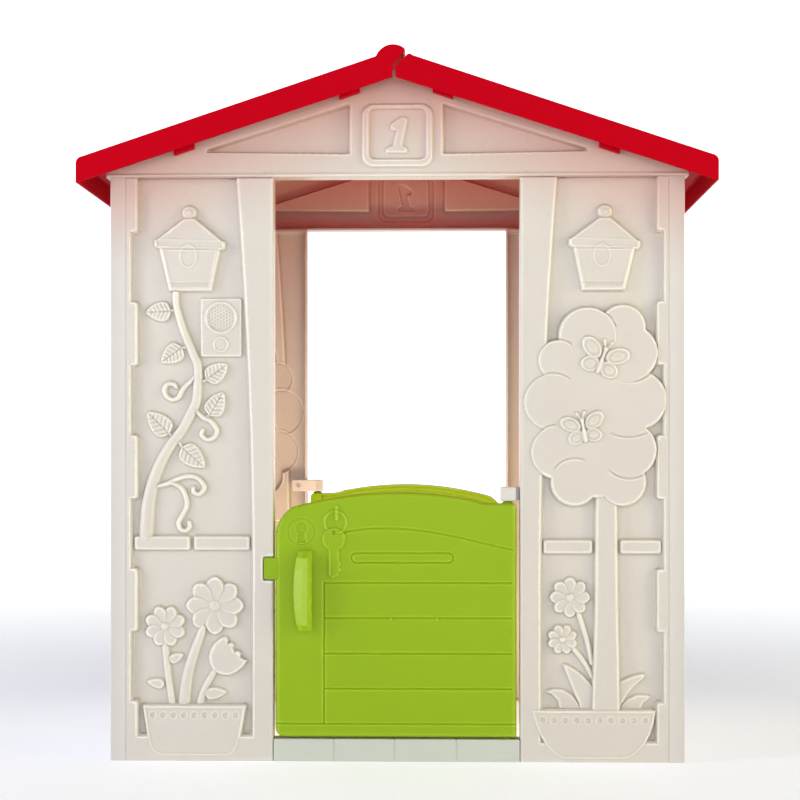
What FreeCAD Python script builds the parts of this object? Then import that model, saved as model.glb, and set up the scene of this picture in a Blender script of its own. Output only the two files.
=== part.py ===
import FreeCAD, Part
import math
import os
import re

import Sketcher

# A toddler's plastic playhouse: a square cabin of moulded panels with a doorway and a half door at each
# end, a number gable over each doorway and a two-piece roof. Frame: origin on the floor under the middle
# of the roof, X to the right as seen from the front, Y from the front to the rear, Z up, millimetres.
# The rear end is the same set of mouldings as the front end, turned half a turn about Z.

V = FreeCAD.Vector
doc = FreeCAD.newDocument("playhouse")
sheet = doc.addObject("Spreadsheet::Sheet", "Sizes")

SIZES = {
    # cabin
    "wall_front": 415,          # from the middle to the outer face of the front wall
    "wall_height": 1033,
    "wall_depth": 40,           # depth of a panel's rim
    "skin": 4,                  # wall of the mouldings
    "recess": 12,               # how far the field lies behind the border
    "jamb": 218,                # from the middle to the side of the doorway
    "seam": 480,                # from the middle to the seam with the side wall
    "side_face": 507.5,         # from the middle to the outer face of the side wall
    "side_recess": 8,
    "quoin_inner": 376,         # from the middle to the inner side of a side wall's corner
    # borders of the front panels
    "quoin_wide": 456.5,
    "quoin_narrow": 468.5,
    "quoin_pitch": 118,
    "quoin_low": 109,
    "border_low": 257,          # inner border at its foot
    "border_high": 286,         # inner border at the top
    "border_foot": 42,
    "relief": 8,                # height of the ornament on the field
    # windows
    "window_half": 170,
    "window_sill": 480,
    "window_spring": 790,
    "window_crown": 850,
    "frame_wide": 26,
    "rail_top": 1076,
    "rail_half": 372,
    # gable
    "gable_half": 510,
    "gable_front": 420,
    "gable_depth": 40,
    "gable_apex": 1246,
    "ridge_notch": 1221.5,      # the gable's top is cut away here for the roof's joint
    "plate_half": 64,
    "plate_low": 1049,
    "plate_high": 1162.4,
    # roof
    "roof_half": 562.5,
    "roof_front": 450,
    "roof_apex": 1251,
    "roof_fall": 0.3345,        # fall per unit of width
    "fascia": 50,
    "bead": 32,
    "bead_side": 5,             # the ridge bead lies this far to the left of the middle
    "tab_long": 38,
    "tab_drop": 9,
    # threshold
    "threshold_high": 40,
    "groove": 3,
    # door
    "door_left": 214,
    "door_right": 212,
    "door_low": 43,
    "door_top": 457,
    "door_shoulder": 426,
    "door_thick": 36,
    "door_front": 416,
    "door_skin": 5,
    "post": 186,                # inner side of the solid hinge post
    "hinge_side": 196,
    "hinge_deep": 397.5,
    "pin_radius": 7,
    "pin_play": 0.06,
    "pin_up": 22,
    "pin_down": 16,
    "edge_round": 8,
    "notch_side": 238.5,
    "notch_low": 318.5,
    "notch_high": 363.5,
    "notch_deep": 6.5,
    # hinge bracket
    "bracket_side": 183,
    "bracket_low": 460.6,
    "bracket_high": 486,
    "bracket_front": 411,
    "bracket_back": 384,
    "flange_far": 250,          # from the middle to the far side of the bracket's flange in the cabin
    "flange_thick": 9,
    "flange_screw": 236,
    # handle
    "grip_left": 182.5,
    "grip_right": 151,
    "grip_low": 231,
    "grip_high": 373,
    "grip_out": 30,
    "grip_bar": 14,
    # screws
    "shank": 2.2,
    "pilot": 2.3,
    "head": 4.5,
    "head_high": 3,
    "boss": 7,
    "screw_deep": 23,           # of a corner screw behind the front face, clear of the sunk field
}
for row, (alias, value) in enumerate(SIZES.items(), 1):
    sheet.set(f"A{row}", alias.replace("_", " "))
    sheet.set(f"B{row}", str(value))
    sheet.setAlias(f"B{row}", alias)
doc.recompute()

WORD = re.compile(r"[a-z_]{3,}")


def bound(text):
    """The expression with each size named as the sheet's cell."""
    return WORD.sub(lambda m: f"Sizes.{m[0]}" if m[0] in SIZES else m[0], str(text))


def size(text):
    """The value of an expression of the sheet's sizes."""
    return float(sheet.evalExpression(str(text)))


def new_body(name, rear=False):
    body = doc.addObject("PartDesign::Body", name)
    body.Label = name
    if rear:
        body.Placement = FreeCAD.Placement(V(0, 0, 0), FreeCAD.Rotation(V(0, 0, 1), 180))
    return body


def new_sketch(body, name, plane, offset, outlines):
    """A sketch on a plane of the body's origin, moved along the plane's normal. An outline is a circle
    (x, y, radius) or a list of corners (x, y) or (x, y, radius): with a radius, the side after that
    corner is an arc, bulging to the right of its run when the radius is positive."""
    sketch = body.newObject("Sketcher::SketchObject", name)
    sketch.AttachmentSupport = [([f for f in body.Origin.OriginFeatures if f.Role == plane][0], "")]
    sketch.MapMode = "FlatFace"
    sketch.setExpression("AttachmentOffset.Base.z", bound(offset))
    for outline in outlines:
        if isinstance(outline, tuple):
            x, y, radius = outline
            edge = sketch.addGeometry(Part.Circle(V(size(x), size(y), 0), V(0, 0, 1), size(radius)), False)
            limits = [("DistanceX", (-1, 1, edge, 3), x), ("DistanceY", (-1, 1, edge, 3), y),
                      ("Radius", (edge,), radius)]
        else:
            corners = [V(size(c[0]), size(c[1]), 0) for c in outline]
            first = sketch.GeometryCount
            count = len(outline)
            limits = []
            for i, corner in enumerate(outline):
                start, end = corners[i], corners[(i + 1) % count]
                if len(corner) == 3:
                    radius = size(corner[2])
                    chord = end - start
                    across = V(chord.y, -chord.x, 0).normalize() * (1 if radius > 0 else -1)
                    far = abs(radius) - math.sqrt(radius * radius - chord.Length ** 2 / 4)
                    ends_now = (start, end) if radius > 0 else (end, start)
                    middle = (start + end) / 2 + across * far
                    sketch.addGeometry(Part.Arc(ends_now[0], middle, ends_now[1]), False)
                else:
                    sketch.addGeometry(Part.LineSegment(start, end), False)
            ends = []
            for i in range(count):
                arc = sketch.Geometry[first + i]
                same = (arc.StartPoint - corners[i]).Length < 1e-6
                ends.append((1, 2) if same else (2, 1))
            for i in range(count):
                after = (i + 1) % count
                sketch.addConstraint(Sketcher.Constraint(
                    "Coincident", first + i, ends[i][1], first + after, ends[after][0]))
            for i, corner in enumerate(outline):
                limits.append(("DistanceX", (-1, 1, first + i, ends[i][0]), corner[0]))
                limits.append(("DistanceY", (-1, 1, first + i, ends[i][0]), corner[1]))
                if len(corner) == 3:
                    limits.append(("Radius", (first + i,), f"abs({corner[2]})"))
        for kind, where, text in limits:
            mark = sketch.addConstraint(Sketcher.Constraint(kind, *where, size(text)))
            if any(word in SIZES for word in WORD.findall(str(text))):
                sketch.setExpression(f"Constraints[{mark}]", bound(text))
    return sketch


def shape_feature(body, kind, name, sketch, length, reverse):
    feature = body.newObject(kind, name)
    feature.Profile = sketch
    feature.setExpression("Length", bound(length))
    feature.Reversed = reverse
    sketch.Visibility = False
    return feature


def raise_from(body, name, plane, offset, outlines, length, reverse=False):
    """Pad along the plane's normal, or against it when reversed."""
    sketch = new_sketch(body, f"{name}_outline", plane, offset, outlines)
    return shape_feature(body, "PartDesign::Pad", name, sketch, length, reverse)


def cut_into(body, name, plane, offset, outlines, length, reverse=False):
    """Pocket against the plane's normal, or along it when reversed."""
    sketch = new_sketch(body, f"{name}_outline", plane, offset, outlines)
    return shape_feature(body, "PartDesign::Pocket", name, sketch, length, reverse)


def box_outline(left, low, right, high):
    return [(left, low), (right, low), (right, high), (left, high)]


def ribbon(points, widths):
    """The outline of a stem: a line of points widened to each side."""
    left, right = [], []
    for i, (x, y) in enumerate(points):
        before, after = points[max(i - 1, 0)], points[min(i + 1, len(points) - 1)]
        dx, dy = after[0] - before[0], after[1] - before[1]
        long = math.hypot(dx, dy)
        half = widths[i] / 2
        left.append((x - dy / long * half, y + dx / long * half))
        right.append((x + dy / long * half, y - dx / long * half))
    return left + right[::-1]


def leaf(base, tip, wide):
    """A pointed leaf from its base to its tip."""
    dx, dy = tip[0] - base[0], tip[1] - base[1]
    long = math.hypot(dx, dy)
    side = (-dy / long * wide / 2, dx / long * wide / 2)
    mid = (base[0] + dx * 0.45, base[1] + dy * 0.45)
    return [base, (mid[0] - side[0], mid[1] - side[1]), tip, (mid[0] + side[0], mid[1] + side[1])]


def blossom(centre, reach, turn):
    """An outline of eight petals."""
    points = []
    for k in range(32):
        angle = math.radians(turn + k * 11.25)
        out = reach * (0.78 + 0.22 * math.cos(math.radians(8 * k * 11.25)))
        points.append((centre[0] + out * math.sin(angle), centre[1] + out * math.cos(angle)))
    return points


def lantern(body, name, middle, lean):
    """A carriage lamp in relief: glass, roof and knob."""
    glass = [(middle + sx + lean * sy, 838 + sy) for sx, sy in
             ((-36, 0), (33, 0), (56, 70), (-54, 70))]
    roof = [(middle - 58, 908), (middle + 60, 908), (middle + 60, 922), (middle + 8, 958),
            (middle - 8, 958), (middle - 58, 922)]
    raise_from(body, f"{name}_glass", "XZ_Plane", "wall_front - recess", [glass], "relief")
    raise_from(body, f"{name}_roof", "XZ_Plane", "wall_front - recess", [roof], "relief + 2")
    raise_from(body, f"{name}_knob", "XZ_Plane", "wall_front - recess",
               [(middle, 968, 13)], "relief + 2")


def wall_panel(name, side, rear):
    """The moulded panel beside a doorway: an open-backed tray with a quoined border round a sunk field.
    side is -1 for the vine panel on the left and 1 for the tree panel on the right."""
    body = new_body(name, rear)

    def at(text):
        return f"{side}*({text})"

    def outline(points):
        return [(at(x), z) for x, z in points]

    raise_from(body, "Blank", "XZ_Plane", "wall_front",
               [outline(box_outline("jamb", 0, "seam", "wall_height"))], "wall_depth", True)
    cut_into(body, "Hollow", "XZ_Plane", "wall_front - wall_depth",
             [outline(box_outline("jamb + skin", "skin", "seam - skin", "wall_height - skin"))],
             "wall_depth - skin - recess", True)
    # hollows behind the raised border; the panel stays solid behind the door's stop notch
    bend = "(border_high - border_low)"
    behind = [outline([("jamb + skin", "notch_high + 8"), (f"border_low + {bend}*0.02 - skin", "notch_high + 8"),
                       (f"border_low + {bend}*0.3 - skin", 700),
                       ("border_high - skin - 1", "wall_height - skin"),
                       ("jamb + skin", "wall_height - skin")]),
              outline([("jamb + skin", "skin"), ("seam - skin", "skin"), ("seam - skin", "border_foot - skin"),
                       ("border_low - skin", "border_foot - skin"), ("border_low - skin", "notch_low - 8"),
                       ("jamb + skin", "notch_low - 8")])]
    for i in range(1, 9, 2):
        low_edge = f"quoin_low + quoin_pitch*{i} + skin"
        high_edge = f"quoin_low + quoin_pitch*{i + 1} - skin" if i < 7 else "wall_height - skin - 0.01"
        behind.append(outline(box_outline("quoin_wide + skin", low_edge, "seam - skin", high_edge)))
    cut_into(body, "BorderHollow", "XZ_Plane", "wall_front - wall_depth", behind, "wall_depth - skin", True)
    # the sunk field, its outer side stepped by the quoins and its inner side drawn in towards the foot
    field = [("border_low", "border_foot"), ("quoin_wide", "border_foot")]
    for i in range(8):
        edge = "quoin_narrow" if i % 2 == 0 else "quoin_wide"
        field.append((edge, f"quoin_low + quoin_pitch*{i}"))
        top = f"quoin_low + quoin_pitch*{i + 1}" if i < 7 else "wall_height + 1"
        field.append((edge, top))
    field += [("border_high", "wall_height + 1"), (f"border_low + {bend}*0.67", 900),
              (f"border_low + {bend}*0.3", 700), (f"border_low + {bend}*0.08", 500), ("border_low", 300)]
    cut_into(body, "Field", "XZ_Plane", "wall_front", [outline(field)], "recess")
    # bores for the corner screws in the outer rim, and for the screws into the gable above
    for i, z in enumerate(CORNER_SCREWS_Z):
        cut_into(body, f"CornerBore{i}", "YZ_Plane", at("seam"),
                 [("-(wall_front - screw_deep)", z, "pilot")], "skin", side < 0)
    for i, x in enumerate(GABLE_SCREWS_X):
        raise_from(body, f"GableBoss{i}", "XY_Plane", "wall_height - 18",
                   [(at(x), "-(wall_front - wall_depth*0.6)", "boss")], "16")
        cut_into(body, f"GableBore{i}", "XY_Plane", "wall_height",
                 [(at(x), "-(wall_front - wall_depth*0.6)", "pilot")], "16")
    cut_into(body, "SillBore", "YZ_Plane", at("jamb + skin"),
             [("-(wall_front - wall_depth/2)", "threshold_high/2", "pilot")], "skin", side < 0)
    if side < 0:
        cut_into(body, "StopNotch", "XZ_Plane", "wall_front",
                 [outline(box_outline("jamb - 1", "notch_low", "notch_side", "notch_high"))], "notch_deep")
        vine_relief(body)
    else:
        # a boss behind the border takes the screw of the hinge bracket
        middle = ("flange_screw", "(bracket_low + bracket_high)/2")
        raise_from(body, "BracketBoss", "XZ_Plane", "wall_front - wall_depth",
                   [(*middle, "boss"), (*middle, "pilot")], "wall_depth - skin/2")
        tree_relief(body)
    return body


CORNER_SCREWS_Z = (90, 400, 640, 960)
GABLE_SCREWS_X = (300, 440)


def vine_relief(body):
    """Lamp, vine, intercom, string course and planter in relief on the left-hand panel."""
    face = "wall_front - recess"
    lantern(body, "Lamp", -371, -0.03)
    stem = [(-392, 829), (-379, 765), (-363.4, 726.5), (-353, 700.7), (-353, 669.6), (-355.3, 638),
            (-366.4, 613.5), (-400, 561.6), (-429.6, 503), (-443, 437.7), (-445.3, 399.6)]
    widths = [13, 14, 15, 15, 16, 16, 17, 18, 20, 24, 26]
    raise_from(body, "VineStem", "XZ_Plane", face, [ribbon(stem, widths)], "relief")
    leaves = [((-404, 798), (-447, 795)), ((-383, 729), (-419, 706)), ((-339, 675), (-301, 702)),
              ((-333, 612.5), (-310, 651)), ((-409, 584), (-443, 617)), ((-379, 552), (-341, 521))]
    raise_from(body, "VineLeaves", "XZ_Plane", face, [leaf(b, t, 32) for b, t in leaves], "relief")
    raise_from(body, "Intercom", "XZ_Plane", face, [box_outline(-349, 715, -277, 819)], "relief - 3")
    raise_from(body, "Speaker", "XZ_Plane", face,
               [(-313, 785, 28.5), (-313.5, 737, 13.5)], "relief")
    raise_from(body, "Course", "XZ_Plane", face,
               [box_outline(-467, 370, -367.6, 398.4), box_outline(-364, 370, -261.7, 398.4)], "relief")
    raise_from(body, "Planter", "XZ_Plane", face,
               [[(-419, "border_foot - 1"), (-300, "border_foot - 1"), (-272, 100), (-450, 100)]],
               "relief + 2")
    stems = [([(-380, 98), (-368, 163), (-346, 237)], [20, 17, 14]),
             ([(-400.6, 98), (-409, 151), (-412.7, 201.6)], [11, 11, 11]),
             ([(-352, 98), (-343.7, 131), (-326.7, 159)], [12, 10, 8])]
    for i, (points, wide) in enumerate(stems):
        raise_from(body, f"Stem{i}", "XZ_Plane", face, [ribbon(points, wide)], "relief - 2")
    raise_from(body, "Blossoms", "XZ_Plane", face,
               [blossom((-325.5, 275.4), 52, 0), blossom((-414, 238), 37.5, 22.5)], "relief")
    raise_from(body, "Tulip", "XZ_Plane", face,
               [[(-336, 170), (-326.7, 158), (-300, 160), (-270, 190), (-288, 194), (-280, 218),
                 (-303, 206), (-310, 222), (-325, 200)]], "relief")


def tree_relief(body):
    """Lamp, tree, butterflies, flowers, string course and planter in relief on the right-hand panel."""
    face = "wall_front - recess"
    lantern(body, "Lamp", 364, 0.03)
    trunk = [(341, 92), (390.6, 92), (384, 470), (347.7, 470)]
    raise_from(body, "Trunk", "XZ_Plane", face, [trunk], "relief")
    crown = [(332.7, 752, 50.5), (393.6, 765, 40), (405, 721, 50), (283, 708.5, 36), (274.6, 635, 51),
             (419, 639, 52), (282.4, 547, 48), (406, 551, 49), (310.6, 494, 42), (394, 494, 42),
             (345, 640, 80), (345, 545, 60), (350, 700, 50)]
    for i, lobe in enumerate(crown):
        raise_from(body, f"Crown{i}", "XZ_Plane", face, [lobe], "recess + 1")
    raise_from(body, "Course", "XZ_Plane", face,
               [box_outline(261, 366, 338, 395), box_outline(394, 366, 465.4, 395)], "relief")
    raise_from(body, "Planter", "XZ_Plane", face,
               [[(284, "border_foot - 1"), (405, "border_foot - 1"), (430, 60), (453, 92.7), (238, 92.7), (256, 60)]],
               "recess + 1")
    raise_from(body, "Blossoms", "XZ_Plane", face,
               [blossom((303.6, 290.7), 36, 0), blossom((290.7, 215.7), 28, 22.5)], "relief")
    for i, points in enumerate(([(319, 258), (342, 182)], [(308, 194), (342, 160.5)])):
        raise_from(body, f"Stem{i}", "XZ_Plane", face, [ribbon(points, [9, 9])], "relief - 2")
    blades = [((330, 95), (290, 174)), ((310, 97), (262, 124)), ((396, 100), (435, 156)), ((405, 94), (446, 116))]
    for i, (base, tip) in enumerate(blades):
        raise_from(body, f"Blade{i}", "XZ_Plane", face, [leaf(base, tip, 16)], "relief - 2")


def side_wall(name, rear):
    """The side wall: a shallow tray between the corners with a window in it and a rail under the roof."""
    body = new_body(name, rear)
    raise_from(body, "Blank", "YZ_Plane", "-side_face",
               [box_outline("-wall_front", 0, "wall_front", "wall_height")], "side_face - seam")
    frame = [("-(window_half + frame_wide)", "window_sill - frame_wide"),
             ("window_half + frame_wide", "window_sill - frame_wide"),
             ("window_half + frame_wide", "window_spring"),
             ("window_half*0.55 + frame_wide*0.5", "window_crown + frame_wide"),
             ("-(window_half*0.55 + frame_wide*0.5)", "window_crown + frame_wide"),
             ("-(window_half + frame_wide)", "window_spring")]
    hole = [("-window_half", "window_sill"), ("window_half", "window_sill"),
            ("window_half", "window_spring"), ("window_half*0.55", "window_crown"),
            ("-window_half*0.55", "window_crown"), ("-window_half", "window_spring")]
    rim = [("-(window_half + skin)", "window_sill - skin"), ("window_half + skin", "window_sill - skin"),
           ("window_half + skin", "window_spring + 1"), ("window_half*0.55 + skin", "window_crown + skin"),
           ("-(window_half*0.55 + skin)", "window_crown + skin"), ("-(window_half + skin)", "window_spring + 1")]
    inside = box_outline("-(wall_front - skin)", "skin", "wall_front - skin", "wall_height - skin")
    cut_into(body, "Hollow", "YZ_Plane", "-seam", [inside, rim], "side_face - seam - skin - side_recess")
    # hollows behind the raised corners and the raised window frame
    behind = [box_outline("-(wall_front - skin)", "skin", "-(quoin_inner + skin)", "wall_height - skin"),
              box_outline("quoin_inner + skin", "skin", "wall_front - skin", "wall_height - skin")]
    cut_into(body, "CornerHollow", "YZ_Plane", "-seam", behind, "side_face - seam - skin")
    field = [box_outline("-quoin_inner", "border_foot", "quoin_inner", "wall_height - border_foot"), frame]
    cut_into(body, "Field", "YZ_Plane", "-side_face", field, "side_recess", True)
    cut_into(body, "Window", "YZ_Plane", "-side_face - 1", [hole], "side_face - seam + 2", True)
    raise_from(body, "Rail", "YZ_Plane", "-side_face",
               [box_outline("-rail_half", "wall_height - skin", "rail_half", "rail_top")], "skin")
    raise_from(body, "Sill", "YZ_Plane", "-side_face + side_recess",
               [box_outline("-(window_half + frame_wide + 14)", "window_sill - frame_wide - 16",
                            "window_half + frame_wide + 14", "window_sill - frame_wide + 4")],
               "side_recess - 1", True)
    for i, z in enumerate(CORNER_SCREWS_Z):
        for k, end in enumerate(("-", "")):
            middle = (f"{end}(wall_front - screw_deep)", z)
            raise_from(body, f"Boss{i}{k}", "YZ_Plane", "-seam",
                       [(*middle, "boss"), (*middle, "pilot")], "side_face - seam - skin/2", True)
    return body


def gable(name, rear):
    """The number gable over the doorway, lying on the two panels under the front of the roof."""
    body = new_body(name, rear)
    top = "gable_apex - roof_fall*gable_half"
    raise_from(body, "Blank", "XZ_Plane", "gable_front",
               [[("-gable_half", "wall_height"), ("gable_half", "wall_height"), ("gable_half", top),
                 (24, "gable_apex - roof_fall*24"), (22, "ridge_notch"), (-22, "ridge_notch"),
                 (-24, "gable_apex - roof_fall*24"), ("-gable_half", top)]], "gable_depth", True)
    holes = []
    for side in (-1, 1):
        holes.append([(side * 336, 1077), (side * 80, 1073), (side * 82, 1162.4)])
    ribs = []
    for side in (-1, 1):
        ribs.append([(side * 362, 1069), (side * 74, 1066), (side * 74, 1171)])
    lid = "gable_apex - roof_fall*(gable_half - skin) - skin*1.06"
    inside = [("-(gable_half - skin)", "wall_height + skin"), ("gable_half - skin", "wall_height + skin"),
              ("gable_half - skin", lid), (28, "gable_apex - roof_fall*28 - skin*1.06"),
              (26, "ridge_notch - skin"), (-26, "ridge_notch - skin"),
              (-28, "gable_apex - roof_fall*28 - skin*1.06"), ("-(gable_half - skin)", lid)]
    cut_into(body, "Hollow", "XZ_Plane", "gable_front - gable_depth", [inside, *ribs], "gable_depth - skin", True)
    cut_into(body, "RibHollow", "XZ_Plane", "gable_front - gable_depth", ribs,
             "gable_depth - skin - recess - 1", True)
    cut_into(body, "Triangles", "XZ_Plane", "gable_front", holes, "recess")
    plate = box_outline("-plate_half - 3", "plate_low", "plate_half - 3", "plate_high")
    panel = box_outline("-plate_half + 9.5", "plate_low + 12", "plate_half - 15.5", "plate_high - 12")
    raise_from(body, "PlateRim", "XZ_Plane", "gable_front", [plate, panel], "5")
    numeral = [(-19, 1074), (19, 1074), (19, 1086), (10, 1086), (15, 1138), (3, 1138), (-16, 1127),
               (-15, 1115), (2, 1121), (-3, 1086), (-19, 1086)]
    raise_from(body, "Numeral", "XZ_Plane", "gable_front", [numeral], "4")
    for i, x in enumerate(GABLE_SCREWS_X):
        for k, side in enumerate((-1, 1)):
            cut_into(body, f"Bore{i}{k}", "XY_Plane", "wall_height + skin",
                     [(f"{side}*({x})", "-(wall_front - wall_depth*0.6)", "pilot")], "skin + 1")
    return body


def threshold(name, rear):
    """The brick-pattern threshold between the panels, with the door's lower pivot hole in it."""
    body = new_body(name, rear)
    raise_from(body, "Blank", "XZ_Plane", "wall_front",
               [box_outline("-jamb", 0, "jamb", "threshold_high")], "wall_depth", True)
    cut_into(body, "Hollow", "XY_Plane", 0,
             [box_outline("-jamb + 20", "-wall_front + skin", "bracket_side - 3", "-wall_front + wall_depth - skin")],
             "threshold_high - skin", True)
    for i, x in enumerate((-113, -6, 102)):
        cut_into(body, f"Joint{i}", "XZ_Plane", "wall_front",
                 [box_outline(f"{x} - groove/2", -1, f"{x} + groove/2", "threshold_high + 1")], "groove*0.7")
        cut_into(body, f"TopJoint{i}", "XY_Plane", "threshold_high",
                 [box_outline(f"{x} - groove/2", "-wall_front - 1", f"{x} + groove/2",
                              "-wall_front + wall_depth + 1")], "groove*0.7")
    cut_into(body, "Pivot", "XY_Plane", "threshold_high",
             [("hinge_side", "-hinge_deep", "pin_radius + pin_play")], "pin_down - door_low + threshold_high + 1")
    for i, side in enumerate((-1, 1)):
        cut_into(body, f"Bore{i}", "YZ_Plane", f"{side}*jamb",
                 [("-(wall_front - wall_depth/2)", "threshold_high/2", "pilot")], "12", side < 0)
    return body


def door(name, rear):
    """The half door: an open-backed shell with an arched top, a solid hinge post and a pin at each end."""
    body = new_body(name, rear)
    edge = [("-door_left", "door_shoulder"), ("-door_left", "door_low + 15", 15),
            ("-door_left + 15", "door_low"), ("door_right", "door_low"), ("door_right", "door_top - 9", 9),
            ("door_right - 9", "door_top"), (151, "door_top", 672), (-158, "door_top + 2", 60)]
    raise_from(body, "Blank", "XZ_Plane", "door_front", [edge], "door_thick", True)
    doc.recompute()
    blank = body.Tip
    near_hinge = []
    for i, line in enumerate(blank.Shape.Edges):
        box = line.BoundBox
        if box.XLength < 0.01 and box.YLength < 0.01 and abs(box.XMin - size("door_right")) < 0.01:
            near_hinge.append(f"Edge{i + 1}")
    rounding = body.newObject("PartDesign::Fillet", "HingeEdge")
    rounding.Base = (blank, near_hinge)
    rounding.setExpression("Radius", bound("edge_round"))
    doc.recompute()
    inner = [("-door_left + skin", "door_shoulder"), ("-door_left + skin", "door_low + skin"),
             ("post", "door_low + skin"), ("post", "door_top - skin"), (149, "door_top - skin", 668),
             (-156, "door_top + 2 - skin", 56)]
    cut_into(body, "Hollow", "XZ_Plane", "door_front - door_thick", [inner], "door_thick - door_skin", True)
    planks = [box_outline(-129.6, f"{z} - groove/2", 205, f"{z} + groove/2") for z in (316, 254, 191, 129)]
    cut_into(body, "Planks", "XZ_Plane", "door_front", planks, "groove*0.7")
    cut_into(body, "FootGroove", "XZ_Plane", "door_front",
             [box_outline("-door_left - 1", "67 - groove/2", "door_right + 1", "67 + groove/2")], "groove*0.7")
    cut_into(body, "SideGroove", "XZ_Plane", "door_front",
             [box_outline("-129.6 - groove/2", 67, "-129.6 + groove/2", 319.5)], "groove*0.7")
    arch = ribbon([(-92.5, 405.5), (-20, 412.3), (80, 404), (204.5, 374.5)], [3, 3, 3, 3])
    cut_into(body, "ArchGroove", "XZ_Plane", "door_front", [arch], "groove*0.7")
    slot = [(-72.5, 369.4, 9.46), (-72.5, 350.5), (90.5, 350.5, 9.46), (90.5, 369.4)]
    cut_into(body, "LetterSlot", "XZ_Plane", "door_front", [slot], "groove*0.7")
    raise_from(body, "KeyPlate", "XZ_Plane", "door_front - 1", [(-170, 407, 24)], "4")
    cut_into(body, "Keyhole", "XZ_Plane", "door_front + 3",
             [[(-176, 388), (-164, 388), (-166, 405), (-160, 414), (-170, 423), (-180, 414), (-174, 405)]], "4")
    raise_from(body, "Hook", "XZ_Plane", "door_front - 1", [box_outline(-114, 428, -102, 452)], "4")
    raise_from(body, "KeyRing", "XZ_Plane", "door_front - 1", [(-110, 423, 20.6), (-110, 423, 14)], "3")
    raise_from(body, "KeyBow", "XZ_Plane", "door_front - 1", [(-113, 393.6, 21), (-112.5, 405.5, 4)], "4")
    key = [(-122, 380), (-122, 328), (-105, 328), (-105, 336), (-100, 342), (-105, 350), (-105, 380)]
    raise_from(body, "KeyShaft", "XZ_Plane", "door_front - 1", [key], "4")
    raise_from(body, "StopTab", "XZ_Plane", "wall_front",
               [box_outline(-236, 321, "-door_left + 5", 361)], "notch_deep - 0.5", True)
    for i, (low, long) in enumerate((("door_top", "pin_up"), ("door_low - pin_down", "pin_down"))):
        raise_from(body, f"Pin{i}", "XY_Plane", low, [("hinge_side", "-hinge_deep", "pin_radius")], long)
    for i, z in enumerate(HANDLE_SCREWS_Z):
        cut_into(body, f"GripBore{i}", "XZ_Plane", "door_front - door_skin",
                 [("-(grip_left + grip_right)/2", z, "pilot")], "door_skin", True)
    return body


HANDLE_SCREWS_Z = (243, 361)


def door_handle(name, rear):
    """The door's pull: a bowed bar on two feet, with room for a child's fingers behind it."""
    body = new_body(name, rear)
    base, out = "-door_front", "-(door_front + grip_out)"
    bar = "-(door_front + grip_out - grip_bar)"
    side = [(base, "grip_low"), (base, "grip_low + 24"), (bar, "grip_low + 34"), (bar, "grip_high - 34"),
            (base, "grip_high - 24"), (base, "grip_high"), ("-(door_front + 20)", "grip_high - 6"),
            (out, "grip_high - 26"), (out, "grip_low + 26"), ("-(door_front + 20)", "grip_low + 6")]
    raise_from(body, "Grip", "YZ_Plane", "-grip_left", [side], "grip_left - grip_right")
    for i, z in enumerate(HANDLE_SCREWS_Z):
        cut_into(body, f"Bore{i}", "XZ_Plane", "door_front",
                 [("-(grip_left + grip_right)/2", z, "pilot")], "12", True)
    return body


def hinge_bracket(name, rear):
    """The block on the jamb that holds the door's upper pin."""
    body = new_body(name, rear)
    raise_from(body, "Block", "XY_Plane", "bracket_low",
               [box_outline("bracket_side", "-bracket_front", "jamb", "-bracket_back")],
               "bracket_high - bracket_low")
    back = "-wall_front + wall_depth"
    raise_from(body, "Neck", "XY_Plane", "bracket_low",
               [box_outline("bracket_side + 16", "-bracket_back - 2", "jamb", f"{back} + flange_thick")],
               "bracket_high - bracket_low")
    raise_from(body, "Flange", "XY_Plane", "bracket_low",
               [box_outline("jamb - 2", back, "flange_far", f"{back} + flange_thick")],
               "bracket_high - bracket_low")
    cut_into(body, "Pivot", "XY_Plane", "bracket_high",
             [("hinge_side", "-hinge_deep", "pin_radius + pin_play")], "bracket_high - bracket_low + 1")
    cut_into(body, "Bore", "XZ_Plane", "wall_front - wall_depth",
             [("flange_screw", "(bracket_low + bracket_high)/2", "pilot")], "flange_thick + 1")
    return body


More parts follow.
